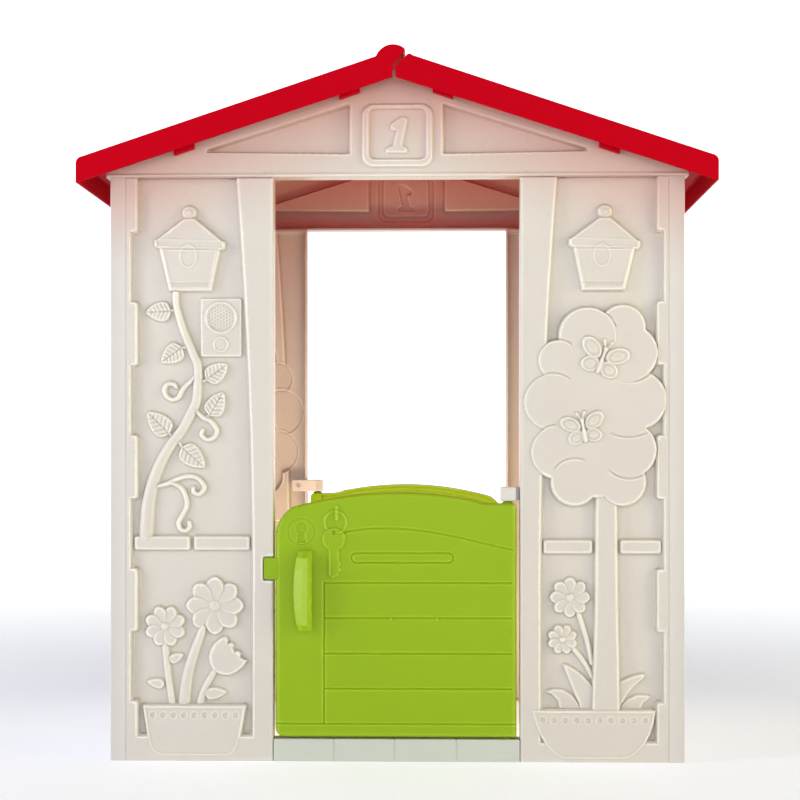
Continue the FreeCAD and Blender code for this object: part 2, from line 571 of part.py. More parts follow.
def roof_half(name, side):
    """Half of the roof: one slope with a fascia on three sides. The left half carries the ridge bead,
    which reaches over the lip of the right half."""
    body = new_body(name)
    eave = f"{side}*roof_half"
    shoulder = f"{side}*(roof_half - 9.5)"
    slope_low = "roof_apex - roof_fall*(roof_half - 9.5)"
    foot = "roof_apex - roof_fall*(roof_half - 9.5) - fascia - 3"
    outline = [(eave, foot), (eave, "roof_apex - roof_fall*(roof_half - 9.5) - 9.5"), (shoulder, slope_low)]
    inside = [(f"{side}*(roof_half - skin)", 900),
              (f"{side}*(roof_half - skin)", "roof_apex - roof_fall*(roof_half - 9.5) - 11.5"),
              (f"{side}*(roof_half - 11.5)", "roof_apex - roof_fall*(roof_half - 9.5) - skin*1.06")]
    if side < 0:
        outline += [("-bead_side - 30.2", "roof_apex - roof_fall*(bead_side + 30.2)", -30),
                    (15.3, 1250), (15.3, 1247.7), (-6.4, 1225.4), (-6.4, "roof_apex - fascia - 2")]
        inside += [("-bead_side - 27.4", "roof_apex - roof_fall*(bead_side + 27.4) - skin*1.06", -26.5),
                   (12, 1246.6), (60, 1100), (60, 900)]
    else:
        outline += [(29, "roof_apex - roof_fall*29"), (25, 1244), (20, 1243.5), (-0.9, 1221),
                    (-0.9, "roof_apex - fascia - 1")]
        inside += [(26, "roof_apex - roof_fall*26 - skin*1.06"), (22.6, 1240), (5.6, 1222.8), (1, 1227),
                   (-60, 1227), (-60, 900)]
    raise_from(body, "Blank", "XZ_Plane", "roof_front", [outline], "roof_front*2", True)
    cut_into(body, "Hollow", "XZ_Plane", "roof_front - skin", [inside], "(roof_front - skin)*2")
    # snap tabs under the front and rear fascias, reaching back to the gables
    for i, x in enumerate((82, 374)):
        ends = (x - 18, x + 18)
        tab = []
        for end, lift in ((ends[0], 0), (ends[1], 0), (ends[1], 1), (ends[0], 1)):
            drop = "+ 6" if lift else "- tab_drop"
            tab.append((side * end, f"roof_apex - roof_fall*{end} - fascia {drop}"))
        raise_from(body, f"FrontTab{i}", "XZ_Plane", "roof_front", [tab], "roof_front - gable_front", True)
        raise_from(body, f"RearTab{i}", "XZ_Plane", "-gable_front", [tab], "roof_front - gable_front", True)
    return body


def screws(name, places):
    """A group of alike screws. A place is the bearing face of the head, the way the shank runs and its
    length."""
    members = []
    for i, (place, way, length) in enumerate(places):
        shank = doc.addObject("Part::Cylinder", f"{name}_shank_{i}")
        shank.setExpression("Radius", bound("shank"))
        shank.Height = length
        head = doc.addObject("Part::Cylinder", f"{name}_head_{i}")
        head.setExpression("Radius", bound("head"))
        head.setExpression("Height", bound("head_high"))
        head.setExpression("Placement.Base.z", bound("-head_high"))
        screw = doc.addObject("Part::Fuse", f"{name}_{i}")
        screw.Base, screw.Tool = shank, head
        screw.Placement = FreeCAD.Placement(V(*place), FreeCAD.Rotation(V(0, 0, 1), V(*way)))
        members.append(screw)
    group = doc.addObject("Part::Compound", name)
    group.Label = name
    group.Links = members
    return group


def turned(place, way, length):
    """The same screw at the rear end."""
    return ((-place[0], -place[1], place[2]), (-way[0], -way[1], way[2]), length)


def corner_places():
    deep = -(size("wall_front") - size("screw_deep"))
    places = []
    for z in CORNER_SCREWS_Z:
        for side in (-1, 1):
            one = ((side * (size("seam") - size("skin")), deep, z), (side, 0, 0), 18)
            places += [one, turned(*one)]
    return places


def gable_places():
    deep = -(size("wall_front") - size("wall_depth") * 0.6)
    places = []
    for x in GABLE_SCREWS_X:
        for side in (-1, 1):
            one = ((side * x, deep, size("wall_height") + size("skin")), (0, 0, -1), 18)
            places += [one, turned(*one)]
    return places


def sill_places():
    deep = -(size("wall_front") - size("wall_depth") / 2)
    places = []
    for side in (-1, 1):
        one = ((side * (size("jamb") + size("skin")), deep, size("threshold_high") / 2), (-side, 0, 0), 15)
        places += [one, turned(*one)]
    return places


def bracket_places(rear):
    middle = (size("bracket_low") + size("bracket_high")) / 2
    deep = -(size("wall_front") - size("wall_depth") - size("flange_thick"))
    one = ((size("flange_screw"), deep, middle), (0, -1, 0), 26)
    return [turned(*one) if rear else one]


def handle_places(rear):
    across = -(size("grip_left") + size("grip_right")) / 2
    deep = -(size("door_front") - size("door_skin"))
    places = [((across, deep, z), (0, -1, 0), 15) for z in HANDLE_SCREWS_Z]
    return [turned(*one) if rear else one for one in places]


NODES = [
    side_wall("left_side_wall", False),
    side_wall("right_side_wall", True),
    roof_half("roof_left", -1),
    roof_half("roof_right", 1),
    screws("corner_screws", corner_places()),
    screws("gable_screws", gable_places()),
    screws("threshold_screws", sill_places()),
]
for end, rear in (("front", False), ("rear", True)):
    NODES += [
        wall_panel(f"{end}_vine_panel", -1, rear),
        wall_panel(f"{end}_tree_panel", 1, rear),
        gable(f"{end}_gable", rear),
        threshold(f"{end}_threshold", rear),
        door(f"{end}_door", rear),
        door_handle(f"{end}_door_handle", rear),
        hinge_bracket(f"{end}_hinge_bracket", rear),
        screws(f"{end}_bracket_screw", bracket_places(rear)),
        screws(f"{end}_handle_screws", handle_places(rear)),
    ]
doc.recompute()

for item in doc.Objects:
    if {"Invalid", "Error"} & set(item.State):
        raise SystemExit(f"{item.Name} failed: {item.State}")
os.makedirs("parts", exist_ok=True)
for node in NODES:
    shape = node.Shape
    if shape.isNull() or not shape.isValid():
        raise SystemExit(f"{node.Label} has no valid shape")
    print(node.Label, len(shape.Solids), "solids", round(shape.Volume / 1000), "cm3")
    shape.exportStep(f"parts/{node.Label}.step")
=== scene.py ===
# %% [markdown]
# # A toddler's plastic playhouse
# The real house is a kit of thin moulded parts: ivory wall panels with pictures in relief, number gables,
# a red two-piece roof and a lime-green half door at each end. The CAD model fixes every size and hinge.
# This notebook makes the moulded surfaces over it. Each part could be sculpted by hand, but a moulded
# face is really a map of heights, so most parts here are computed from one and then given a thin skin.

# %% The CAD frame
import math
import bmesh
import bpy
import numpy as np
from mathutils import Matrix, Vector


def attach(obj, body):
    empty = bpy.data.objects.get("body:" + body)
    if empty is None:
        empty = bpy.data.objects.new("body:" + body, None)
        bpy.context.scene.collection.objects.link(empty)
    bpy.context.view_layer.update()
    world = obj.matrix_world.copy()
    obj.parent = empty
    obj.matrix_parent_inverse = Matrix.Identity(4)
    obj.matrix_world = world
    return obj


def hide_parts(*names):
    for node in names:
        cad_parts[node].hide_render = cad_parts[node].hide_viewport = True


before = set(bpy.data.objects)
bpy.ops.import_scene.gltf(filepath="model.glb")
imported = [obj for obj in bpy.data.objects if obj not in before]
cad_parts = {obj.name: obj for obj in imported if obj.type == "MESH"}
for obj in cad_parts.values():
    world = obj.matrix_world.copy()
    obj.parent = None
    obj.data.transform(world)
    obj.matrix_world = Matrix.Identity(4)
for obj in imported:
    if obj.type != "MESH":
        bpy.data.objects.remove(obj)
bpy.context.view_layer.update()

# %% [markdown]
# ## The camera
# The view is a product view from a few metres in front of the door, level with the door's upper half.
# The camera isn't tilted, so upright edges stay upright; the picture is moved up with the lens shift.

# %% Camera
camera = bpy.data.objects.new("camera", bpy.data.cameras.new("camera"))
bpy.context.scene.collection.objects.link(camera)
bpy.context.scene.camera = camera
camera.location = (0.092, -3.722, 0.550)
camera.rotation_euler = (math.radians(90), 0, math.radians(1.53))
camera.data.lens, camera.data.sensor_width = 84.3, 36
camera.data.shift_x, camera.data.shift_y = 0.0019, 0.0631
print("camera", round(camera.location.length, 2), "m away with a lens of", camera.data.lens, "mm")

# %% [markdown]
# ## A face as a map of heights
# A moulded face is described in millimetres on a grid that runs across and up the part. Shapes are given
# by their distance: below zero inside the shape, above zero outside. A soft step of that distance makes
# the sloping, rounded sides that let a real moulding leave its tool.

# %% Grid of a moulded face
STEP = 1.5
EDGE_LINES = np.array([0, 0.4, 1.0, 1.9, 3.1, 4.6, 6.4])
MARK_LINES = np.array([-2.4, -1.1, 0, 1.1, 2.4])


def grid_lines(low, high, step, marks=()):
    """Grid lines between two edges, closer together beside the edges and at marked lines."""
    middle = np.arange(low + 8.2, high - 8, step)
    lines = np.concatenate([low + EDGE_LINES, high - EDGE_LINES] + [m + MARK_LINES for m in marks])
    clear = np.abs(middle[:, None] - lines[None]).min(1) > 0.45 * step
    every = np.unique(np.round(np.concatenate([lines, middle[clear]]), 3))
    return every[np.concatenate([[True], np.diff(every) > 0.25])]


class Face:
    """Heights over a grid. Its lower and upper edges may be curves of x; between two straight levels the
    grid lines stay level, so that fine level lines come out clean."""

    def __init__(self, left, right, low, high, step=STEP, across=(), level=None, rows=()):
        xs = grid_lines(left, right, step, across)
        self.low = np.array([low(x) if callable(low) else low for x in xs], float)
        self.high = np.array([high(x) if callable(high) else high for x in xs], float)
        foot, head = self.low.min(), self.high.max()
        lines = grid_lines(foot, head, step, rows)
        first, last = level or (foot, head)
        z = np.tile(lines[:, None], (1, len(xs)))
        if level:
            above = lines > last
            part = (lines[above, None] - last) / (head - last)
            z[above] = last + part * (self.high - last)
            under = lines < first
            part = (lines[under, None] - foot) / (first - foot)
            z[under] = self.low + part * (first - self.low)
        else:
            z = self.low + (lines[:, None] - foot) / (head - foot) * (self.high - self.low)
        self.x, self.z = np.tile(xs, (len(lines), 1)), z
        self.height = np.zeros(self.x.shape)

    def spot(self, box):
        left, low, right, high = box
        return (self.x > left) & (self.x < right) & (self.z > low) & (self.z < high)

    def lift(self, box, shape):
        """Raise the face to a shape's height where that is higher."""
        m = self.spot(box)
        self.height[m] = np.maximum(self.height[m], shape(self.x[m], self.z[m]))

    def add(self, box, shape):
        """Add a shape's height to the face."""
        m = self.spot(box)
        self.height[m] += shape(self.x[m], self.z[m])


print("grid lines over 100 mm:", len(grid_lines(0, 100, STEP)))

# %% [markdown]
# ### Distances
# A disc, a rounded slab and a polygon give the distance to their outline. A stroke gives the distance
# from a drawn line as a share of its half width, so that a stem can taper. Few points make a smooth
# line, because a curve is laid through them (Catmull-Rom).

# %% Distances to simple shapes
def disc(x, z, cx, cz, radius):
    return np.hypot(x - cx, z - cz) - radius


def slab(x, z, left, low, right, high, corner=0.0):
    dx = np.abs(x - (left + right) / 2) - (right - left) / 2 + corner
    dz = np.abs(z - (low + high) / 2) - (high - low) / 2 + corner
    return np.hypot(np.maximum(dx, 0), np.maximum(dz, 0)) + np.minimum(np.maximum(dx, dz), 0) - corner


def polygon(x, z, corners, corner=0.0):
    """Distance to the outline of a polygon, less the rounding of its corners."""
    far = np.full(x.shape, 1e9)
    inside = np.zeros(x.shape, bool)
    for (ax, az), (bx, bz) in zip(corners, corners[1:] + corners[:1]):
        ex, ez = bx - ax, bz - az
        t = np.clip(((x - ax) * ex + (z - az) * ez) / (ex * ex + ez * ez), 0, 1)
        far = np.minimum(far, np.hypot(x - ax - t * ex, z - az - t * ez))
        if ez:
            inside ^= ((az > z) != (bz > z)) & (x < ex * (z - az) / ez + ax)
    return np.where(inside, -far, far) - corner


def stroke(x, z, points, widths):
    """Distance from a line in widths of its own: 0 on the line, 1 at its side."""
    share = np.full(x.shape, 9.0)
    for (ax, az), (bx, bz), wa, wb in zip(points, points[1:], widths, widths[1:]):
        ex, ez = bx - ax, bz - az
        t = np.clip(((x - ax) * ex + (z - az) * ez) / (ex * ex + ez * ez), 0, 1)
        share = np.minimum(share, np.hypot(x - ax - t * ex, z - az - t * ez) / ((wa + (wb - wa) * t) / 2))
    return share


def eased(points, widths, parts=5):
    """A smooth line through the points, with its widths."""
    p = np.array([points[0], *points, points[-1]], float)
    out = []
    for i in range(1, len(p) - 2):
        for t in np.arange(parts) / parts:
            a, b, c, d = p[i - 1:i + 3]
            out.append(0.5 * (2 * b + (c - a) * t + (2 * a - 5 * b + 4 * c - d) * t ** 2
                              + (3 * b - a - 3 * c + d) * t ** 3))
    out.append(p[-2])
    if np.isscalar(widths):
        widths = [widths] * len(points)
    wide = np.interp(np.linspace(0, len(points) - 1, len(out)), range(len(points)), widths)
    return [tuple(q) for q in out], list(wide)


print("2 mm from the middle of a disc of 5 mm:", float(disc(2.0, 0, 0, 0, 5)))

# %% [markdown]
# ### Soft steps
# A height that eases from one level to the next looks moulded, and a sharp jump looks cut. Three
# profiles do for everything here: a step with a sloping side, a round back and a fine pressed line.

# %% Soft steps
def rise(distance, soft):
    """0 outside a shape, 1 inside, easing over the soft width of its side, which starts a little outside."""
    t = np.clip(0.25 - distance / soft, 0, 1)
    return t * t * (3 - 2 * t)


def rod(share):
    """The round back of a stem: 1 on its line, 0 at its side."""
    return np.clip(1 - share ** 2, 0, 1) ** 0.6


def groove(distance, wide, deep):
    """A fine line pressed in along a shape's edge."""
    return -deep * np.exp(-(distance / wide) ** 2)


def about(points, margin):
    """The box round some points."""
    xs, zs = [p[0] for p in points], [p[1] for p in points]
    return min(xs) - margin, min(zs) - margin, max(xs) + margin, max(zs) + margin


def around(cx, cz, reach):
    """The box round a point."""
    return cx - reach, cz - reach, cx + reach, cz + reach


def draw_line(face, base, points, widths, high):
    """A stem with a round back along a smooth line."""
    points, widths = eased(points, widths)
    face.lift(about(points, 30), lambda x, z: base + high * rod(stroke(x, z, points, widths)))


print("a step at its foot, middle and top:", [float(rise(d, 4)) for d in (1, -1, -3)])

# %% [markdown]
# ## Meshes from numbers
# Large grids go into a mesh as whole arrays, which is much faster than adding faces one by one. Then
# the flat stretches are simplified with Decimate, and edges are marked sharp by their angle.

# %% Mesh helpers
def mesh_of_quads(name, points, quads, crest=None):
    """A mesh from points in millimetres, with the crests of its relief as a point attribute."""
    mesh = bpy.data.meshes.new(name)
    mesh.vertices.add(len(points))
    mesh.vertices.foreach_set("co", (np.asarray(points) / 1000).ravel())
    if crest is not None:
        mesh.attributes.new("crest", "FLOAT", "POINT").data.foreach_set("value", crest.astype(np.float32))
    mesh.loops.add(4 * len(quads))
    mesh.loops.foreach_set("vertex_index", np.asarray(quads, np.int32).ravel())
    mesh.polygons.add(len(quads))
    mesh.polygons.foreach_set("loop_start", np.arange(0, 4 * len(quads), 4, dtype=np.int32))
    mesh.update(calc_edges=True)
    mesh.validate()
    return mesh


def tidy_mesh(mesh, angle=38):
    """Normals outward, everything smooth but the true edges."""
    work = bmesh.new()
    work.from_mesh(mesh)
    bmesh.ops.recalc_face_normals(work, faces=work.faces)
    work.to_mesh(mesh)
    work.free()
    mesh.shade_smooth()
    mesh.set_sharp_from_angle(angle=math.radians(angle))
    return mesh


def applied(obj):
    """The object's mesh with its modifiers applied."""
    bpy.context.view_layer.update()
    mesh = bpy.data.meshes.new_from_object(obj.evaluated_get(bpy.context.evaluated_depsgraph_get()))
    old = obj.data
    obj.modifiers.clear()
    obj.data = mesh
    bpy.data.meshes.remove(old)
    return mesh


def thinned(mesh, keep):
    """The mesh with its flat stretches simplified."""
    obj = bpy.data.objects.new("thinning", mesh)
    bpy.context.scene.collection.objects.link(obj)
    modifier = obj.modifiers.new("thin", "DECIMATE")
    modifier.ratio = keep
    mesh = applied(obj)
    bpy.data.objects.remove(obj)
    return mesh


def softened(height, reach):
    """The heights blurred over some grid lines, to find crests and hollows by the difference."""
    out, span = height, 2 * reach + 1
    for axis in (0, 1):
        padded = np.concatenate([out.take([0] * reach, axis), out, out.take([-1] * reach, axis)], axis)
        out = sum(padded.take(range(k, k + out.shape[axis]), axis) for k in range(span)) / span
    return out


print("a step of 2 mm blurs to", softened(np.array([[0.0, 0, 2, 2]]), 1).round(2).tolist())

# %% [markdown]
# ## A thin skin behind the face
# The inside of a moulding copies its outside, one wall thickness further in, and a rim runs back from
# its edge. Solidify could do this, but it folds at the deep rims, so the inner grid is laid out here:
# the outer grid drawn in by one wall thickness, joined to it by a rim whose four corners stay square.
# A window is a hole of the grid whose nearest points are first moved onto its outline.

# %% Skin builder
WALL = 4.0


def snapped_to(hole, x, z):
    """Move the grid points beside a hole onto its outline."""
    d = hole(x, z)
    dx = (hole(x + 0.1, z) - hole(x - 0.1, z)) / 0.2
    dz = (hole(x, z + 0.1) - hole(x, z - 0.1)) / 0.2
    close = np.abs(d) < 1.5 * STEP
    x[close] -= (d * dx)[close]
    z[close] -= (d * dz)[close]


def strip(*corners):
    return np.stack(corners, -1)


def without_loose_points(mesh):
    work = bmesh.new()
    work.from_mesh(mesh)
    bmesh.ops.delete(work, geom=[v for v in work.verts if not v.link_faces], context="VERTS")
    work.to_mesh(mesh)
    work.free()


def skin_mesh(name, face, front, depth, skin=WALL, keep=0.4, hole=None, rounding=5.0, outline=None,
              side=None, draft=0.0):
    """A thin tray: the face in front, its copy inside and a rim round both. side turns the tray's own
    front (-Y) to another side of the house; draft is how much narrower the rim gets towards its back."""
    x, z, height = face.x, face.z, face.height.copy()
    edge = -outline(x, z) if outline else np.minimum(
        np.minimum(x - x.min(), x.max() - x), np.minimum(z - z.min(), z.max() - z))
    if callable(rounding):
        rounding = rounding(x, z)
    near = np.clip(rounding - edge, 0, rounding)
    height -= rounding - np.sqrt(np.maximum(rounding ** 2 - near ** 2, 0))
    crest = height - softened(height, 2)
    inner = np.maximum(height - skin, -depth + 1)
    middle = (x.min() + x.max()) / 2
    inner_x = middle + (x - middle) * (1 - 2 * skin / (x.max() - x.min()))
    span = face.high - face.low
    inner_z = face.low + skin + (z - face.low) * (1 - 2 * skin / span)
    rows, columns = x.shape
    count = rows * columns
    index = np.arange(count).reshape(rows, columns)
    kept = np.ones((rows - 1, columns - 1), bool)
    if hole:
        snapped_to(hole, x, z)
        snapped_to(hole, inner_x, inner_z)
        kept = hole(x[:-1, :-1] / 2 + x[1:, 1:] / 2, z[:-1, :-1] / 2 + z[1:, 1:] / 2) > -0.2
    cells = strip(index[:-1, :-1], index[:-1, 1:], index[1:, 1:], index[1:, :-1])[kept]
    loop = np.concatenate([index[0, :-1], index[:-1, -1], index[-1, :0:-1], index[:0:-1, 0]])
    ring = len(loop)
    outer = strip(x, -(front + height), z).reshape(-1, 3)
    inside = strip(inner_x, -(front + inner), inner_z).reshape(-1, 3)
    back = -(front - depth)
    rims = [outer[loop].copy(), inside[loop].copy()]
    for rim in rims:
        rim[:, 1] = back
    centre = np.array([[middle, back, (face.low.min() + face.high.max()) / 2]])
    rims[0] = centre + (rims[0] - centre) * (1 - draft / (x.max() - x.min()) * 2)
    points = np.concatenate([outer, inside, *rims])
    here = np.arange(ring)
    then = (here + 1) % ring
    a, b = 2 * count, 2 * count + ring
    strips = [strip(loop[here], loop[then], a + then, a + here),
              strip(a + here, a + then, b + then, b + here),
              strip(b + here, b + then, count + loop[then], count + loop[here])]
    if hole:
        for sill, (r, c) in ((True, np.nonzero(kept[1:, :] != kept[:-1, :])),
                             (False, np.nonzero(kept[:, 1:] != kept[:, :-1]))):
            first, last = index[r + 1, c] if sill else index[r, c + 1], index[r + 1, c + 1]
            strips.append(strip(first, last, count + last, count + first))
    quads = np.concatenate([cells, cells[:, ::-1] + count, *strips])
    crests = np.concatenate([crest.ravel(), -crest.ravel(), np.zeros(len(points) - 2 * count)])
    mesh = mesh_of_quads(name, points, quads, crests)
    if hole:
        without_loose_points(mesh)
    mesh = thinned(mesh, keep)
    if side is not None:
        mesh.transform(side)
    tidy_mesh(mesh)
    print(name, "has", len(mesh.polygons), "faces")
    return mesh


print("walls are", WALL, "mm thick")

# %% [markdown]
# ## Placing a piece
# A piece rides on the CAD body that carries it and stands in for that part's CAD nodes. The rear of the
# house is made from the same mouldings as the front, so a rear piece is the front one turned by half a
# turn. Weighted normals keep the flat stretches flat beside the small round edges.

# %% Placing a piece
TURN = Matrix.Rotation(math.pi, 4, "Z")
DOORS = ("front_door", "rear_door")


def place(name, mesh, body, nodes, material):
    """A piece that rides on a body and stands for its CAD nodes."""
    mesh.materials.clear()
    mesh.materials.append(material)
    piece = bpy.data.objects.new(name, mesh)
    bpy.context.scene.collection.objects.link(piece)
    piece.modifiers.new("flat_faces_stay_flat", "WEIGHTED_NORMAL").keep_sharp = True
    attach(piece, body)
    if nodes:
        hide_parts(*nodes)
    return piece


def place_at_both_ends(part, mesh, material, bodies=("house", "house")):
    """The front piece, and the same moulding turned half a turn for the rear."""
    rear = mesh.copy()
    rear.transform(TURN)
    for end, body, own in (("front", bodies[0], mesh), ("rear", bodies[1], rear)):
        place(f"{end}_{part}_moulding", own, body, [f"{end}_{part}"], material)


print("the rear is turned by", round(math.degrees(TURN.to_euler().z)), "degrees")

# %% [markdown]
# ## Shader maths as expressions
# The finishes are worked out from noise and slopes. Wiring Math nodes by hand hides the thought, so a
# small class lets an ordinary expression add them.

# %% Values in a material
class Value:
    """A socket that can be used in an expression."""

    def __init__(self, finish, socket):
        self.finish, self.socket = finish, socket

    def maths(self, operation, *values):
        return self.finish.node("ShaderNodeMath", {"operation": operation}, dict(enumerate(values)))

    def __add__(self, other):
        return self.maths("ADD", self, other)

    def __mul__(self, other):
        return self.maths("MULTIPLY", self, other)

    def __sub__(self, other):
        return self.maths("SUBTRACT", self, other)

    def __rsub__(self, other):
        return self.maths("SUBTRACT", other, self)

    __radd__, __rmul__ = __add__, __mul__


class Finish:
    """A material and its nodes."""

    def __init__(self, name):
        self.material = bpy.data.materials.new(name)
        self.material.use_nodes = True
        self.tree = self.material.node_tree
        self.tree.nodes.clear()
        out = self.tree.nodes.new("ShaderNodeOutputMaterial")
        self.shader = self.tree.nodes.new("ShaderNodeBsdfPrincipled")
        self.tree.links.new(self.shader.outputs[0], out.inputs[0])
        self.where = self.node("ShaderNodeTexCoord", {}, {}, "Object")

    def node(self, kind, settings, values, output=0):
        """A node of a type, with its settings, then its values or links, and one of its outputs."""
        node = self.tree.nodes.new(kind)
        for key, setting in settings.items():
            if key == "stops":
                ramp = node.color_ramp
                while len(ramp.elements) < len(setting):
                    ramp.elements.new(0.5)
                for element, (place_, colour) in zip(ramp.elements, setting):
                    element.position, element.color = place_, (*colour, 1)
            else:
                setattr(node, key, setting)
        for key, value in values.items():
            self.feed(node.inputs[key], value)
        return Value(self, node.outputs[output])

    def noise(self, scale, detail=2.0, rough=0.5):
        """Noise that is fixed to the piece."""
        return self.node("ShaderNodeTexNoise", {}, {"Vector": self.where, "Scale": scale, "Detail": detail,
                                                    "Roughness": rough}, "Fac")

    def between(self, value, low, high, ease="LINEAR"):
        """0 to 1 as a value goes from low to high."""
        return self.node("ShaderNodeMapRange", {"interpolation_type": ease},
                         {"Value": value, "From Min": low, "From Max": high}, 0)

    def blend(self, factor, first, second):
        """One colour, or another where the factor is 1."""
        return self.node("ShaderNodeMix", {"data_type": "RGBA"}, {0: factor, 6: first, 7: second}, 2)

    def ramp(self, factor, *stops):
        return self.node("ShaderNodeValToRGB", {"stops": stops}, {"Fac": factor})

    def feed(self, socket, value):
        if isinstance(value, Value):
            self.tree.links.new(value.socket, socket)
        else:
            socket.default_value = value

    def set(self, **values):
        for key, value in values.items():
            self.feed(self.shader.inputs[key.replace("_", " ")], value)


print("operators:", [name for name in vars(Value) if name.startswith("__r")])

# %% [markdown]
# ## Moulded plastic
# Polypropylene has an even colour with faint clouds where it flowed and a fine sparked grain that breaks up
# its gloss. Painted highlights lighten the raised edges of the relief, and painted shade with a little dust
# darkens its hollows. Under the roof the ivory takes a painted red light and shade, and the red roof has a
# faint painted glow. Every plastic here is that one recipe with its own colours.

# %% Plastic finish
EAVE_FALL, RIDGE = 0.3345, 1.251


def plastic(name, colour, crest_highlight, hollow_shade_and_dust, rough=0.42, cloud=0.06, specular=0.4, tint=None, glow=0.0):
    """tint is the colour that daylight through the red roof throws on the plastic under it."""
    finish = Finish(name)
    clouds, drift = finish.noise(3.2, 3.0), finish.noise(14.0, 4.0)
    fine, scuffs = finish.noise(900.0), finish.noise(55.0, 6.0, 0.7)
    relief = finish.node("ShaderNodeAttribute", {"attribute_name": "crest"}, {}, "Fac")
    high, deep = finish.between(relief, 0.10, 1.05), finish.between(relief, -0.12, -1.3)
    shade = (clouds * 0.6 + drift * 0.4 - 0.5) * cloud * 2 + 0.5
    tone = finish.ramp(shade, (0.35, [c * 0.86 for c in colour]), (0.65, [min(1, c * 1.1) for c in colour]))
    # Painted highlight: the raised crests of the relief are lightened towards the highlight colour, broken up
    # by the scuff noise.
    highlighted = finish.blend(high * 0.6 * (scuffs * 0.4 + 0.75), tone, (*crest_highlight, 1))
    # Painted shade with a little dust: the hollows of the relief are darkened.
    colour_with_painted_light = finish.blend(deep * 0.32 * (clouds + 0.5), highlighted, (*hollow_shade_and_dust, 1))
    # Painted red light and shade from the roof: near the roof line and at the gable's top the colour turns
    # towards the tint.
    if tint:
        height = finish.node("ShaderNodeSeparateXYZ", {}, {"Vector": finish.where}, "Z")
        across = finish.node("ShaderNodeSeparateXYZ", {}, {"Vector": finish.where}, "X")
        below = RIDGE - across.maths("ABSOLUTE", across) * EAVE_FALL - height
        near_roof = finish.between(below, 0.24, 0.03, "SMOOTHSTEP")
        top = finish.between(height, 1.10, 1.235, "SMOOTHSTEP")
        colour_with_painted_light = finish.blend(near_roof * (clouds * 0.2 + 0.56) + top * 0.25, colour_with_painted_light, (*tint, 1))
    # Painted light: the plastic glows in its own colour.
    if glow:
        finish.set(Emission_Color=colour_with_painted_light, Emission_Strength=glow)
    bump = finish.node("ShaderNodeBump", {}, {"Height": fine * 0.6 + drift * 0.8, "Strength": 0.12,
                                              "Distance": 0.0006})
    finish.set(Base_Color=colour_with_painted_light, Roughness=(fine - 0.5) * 0.22 + (scuffs - 0.5) * 0.2 + rough,
               IOR=1.49, Specular_IOR_Level=specular, Normal=bump)
    return finish.material


# Each plastic gives its base colour, then the colour of its painted highlight on crests and of its painted
# shade with dust in hollows.
IVORY = plastic("ivory_plastic", (0.640, 0.596, 0.540), (0.97, 0.95, 0.86), (0.40, 0.33, 0.22), 0.31,
                specular=0.5, tint=(0.50, 0.22, 0.17))
SIDE_IVORY = plastic("side_ivory_plastic", (0.650, 0.615, 0.590), (0.95, 0.94, 0.87), (0.40, 0.34, 0.24),
                     0.34, tint=(0.50, 0.24, 0.19))
# The red roof's faint glow is painted light for the light that passes through its thin plastic.
RED = plastic("red_plastic", (0.435, 0.0003, 0.0075), (0.66, 0.008, 0.02), (0.20, 0.002, 0.005), 0.44,
              cloud=0.05, specular=0.02, glow=0.14)
GREEN = plastic("green_plastic", (0.275, 0.430, 0.004), (0.52, 0.70, 0.08), (0.15, 0.27, 0.003), 0.34,
                cloud=0.05, specular=0.22)
# The pull is the door's green plastic; this lighter copy of that green is a painted highlight for the light
# on the pull's facets.
PULL_GREEN_LIT = plastic("pull_green_lit_plastic", (0.345, 0.520, 0.018), (0.60, 0.80, 0.14), (0.15, 0.27, 0.006),
                     0.26, cloud=0.05, specular=0.5)
GREY = plastic("grey_plastic", (0.560, 0.585, 0.525), (0.86, 0.88, 0.82), (0.36, 0.35, 0.29))
PALE = plastic("bracket_plastic", (0.680, 0.645, 0.600), (0.95, 0.93, 0.90), (0.40, 0.35, 0.28), 0.3)
print("plastics:", len([m for m in bpy.data.materials if "plastic" in m.name]))

# %% [markdown]
# ## Zinc-plated steel
# Zinc on a small screw shows as fine crystals that differ a little in brightness and gloss. One noise
# drives the colour, the roughness and the bump, so that the three agree.

# %% Zinc-plated steel
zinc = Finish("screw_zinc")
spangle = zinc.noise(420.0, 4.0)
zinc.set(Base_Color=zinc.ramp(spangle, (0.3, (0.42, 0.41, 0.38)), (0.7, (0.66, 0.66, 0.64))),
         Metallic=1.0, Roughness=spangle * 0.3 + 0.22,
         Normal=zinc.node("ShaderNodeBump", {}, {"Height": spangle, "Strength": 0.2, "Distance": 0.0003}))
STEEL = zinc.material
print("steel:", STEEL.name)

# %% [markdown]
# ## The wall panels
# A panel stands on each side of the doorway. Its border steps in and out like corner stones on the outer
# side and leans away from the doorway on the inner side. Between them lies a sunk field with pictures.
# The two panels share that ground, so it is drawn once, with the side as its argument.

# %% Ground of a panel
FIELD = -12.0
FACE_FRONT, RIM = 415.0, 40.0
JAMB, SEAM, WALL_TOP = 218.0, 480.0, 1033.0
QUOIN_WIDE, QUOIN_NARROW, BORDER, LEAN, LEAN_FROM = 456.5, 468.5, 257, 29, 300
QUOINS = [(934, 1040), (698, 816), (462, 580), (227, 344), (-10, 109)]


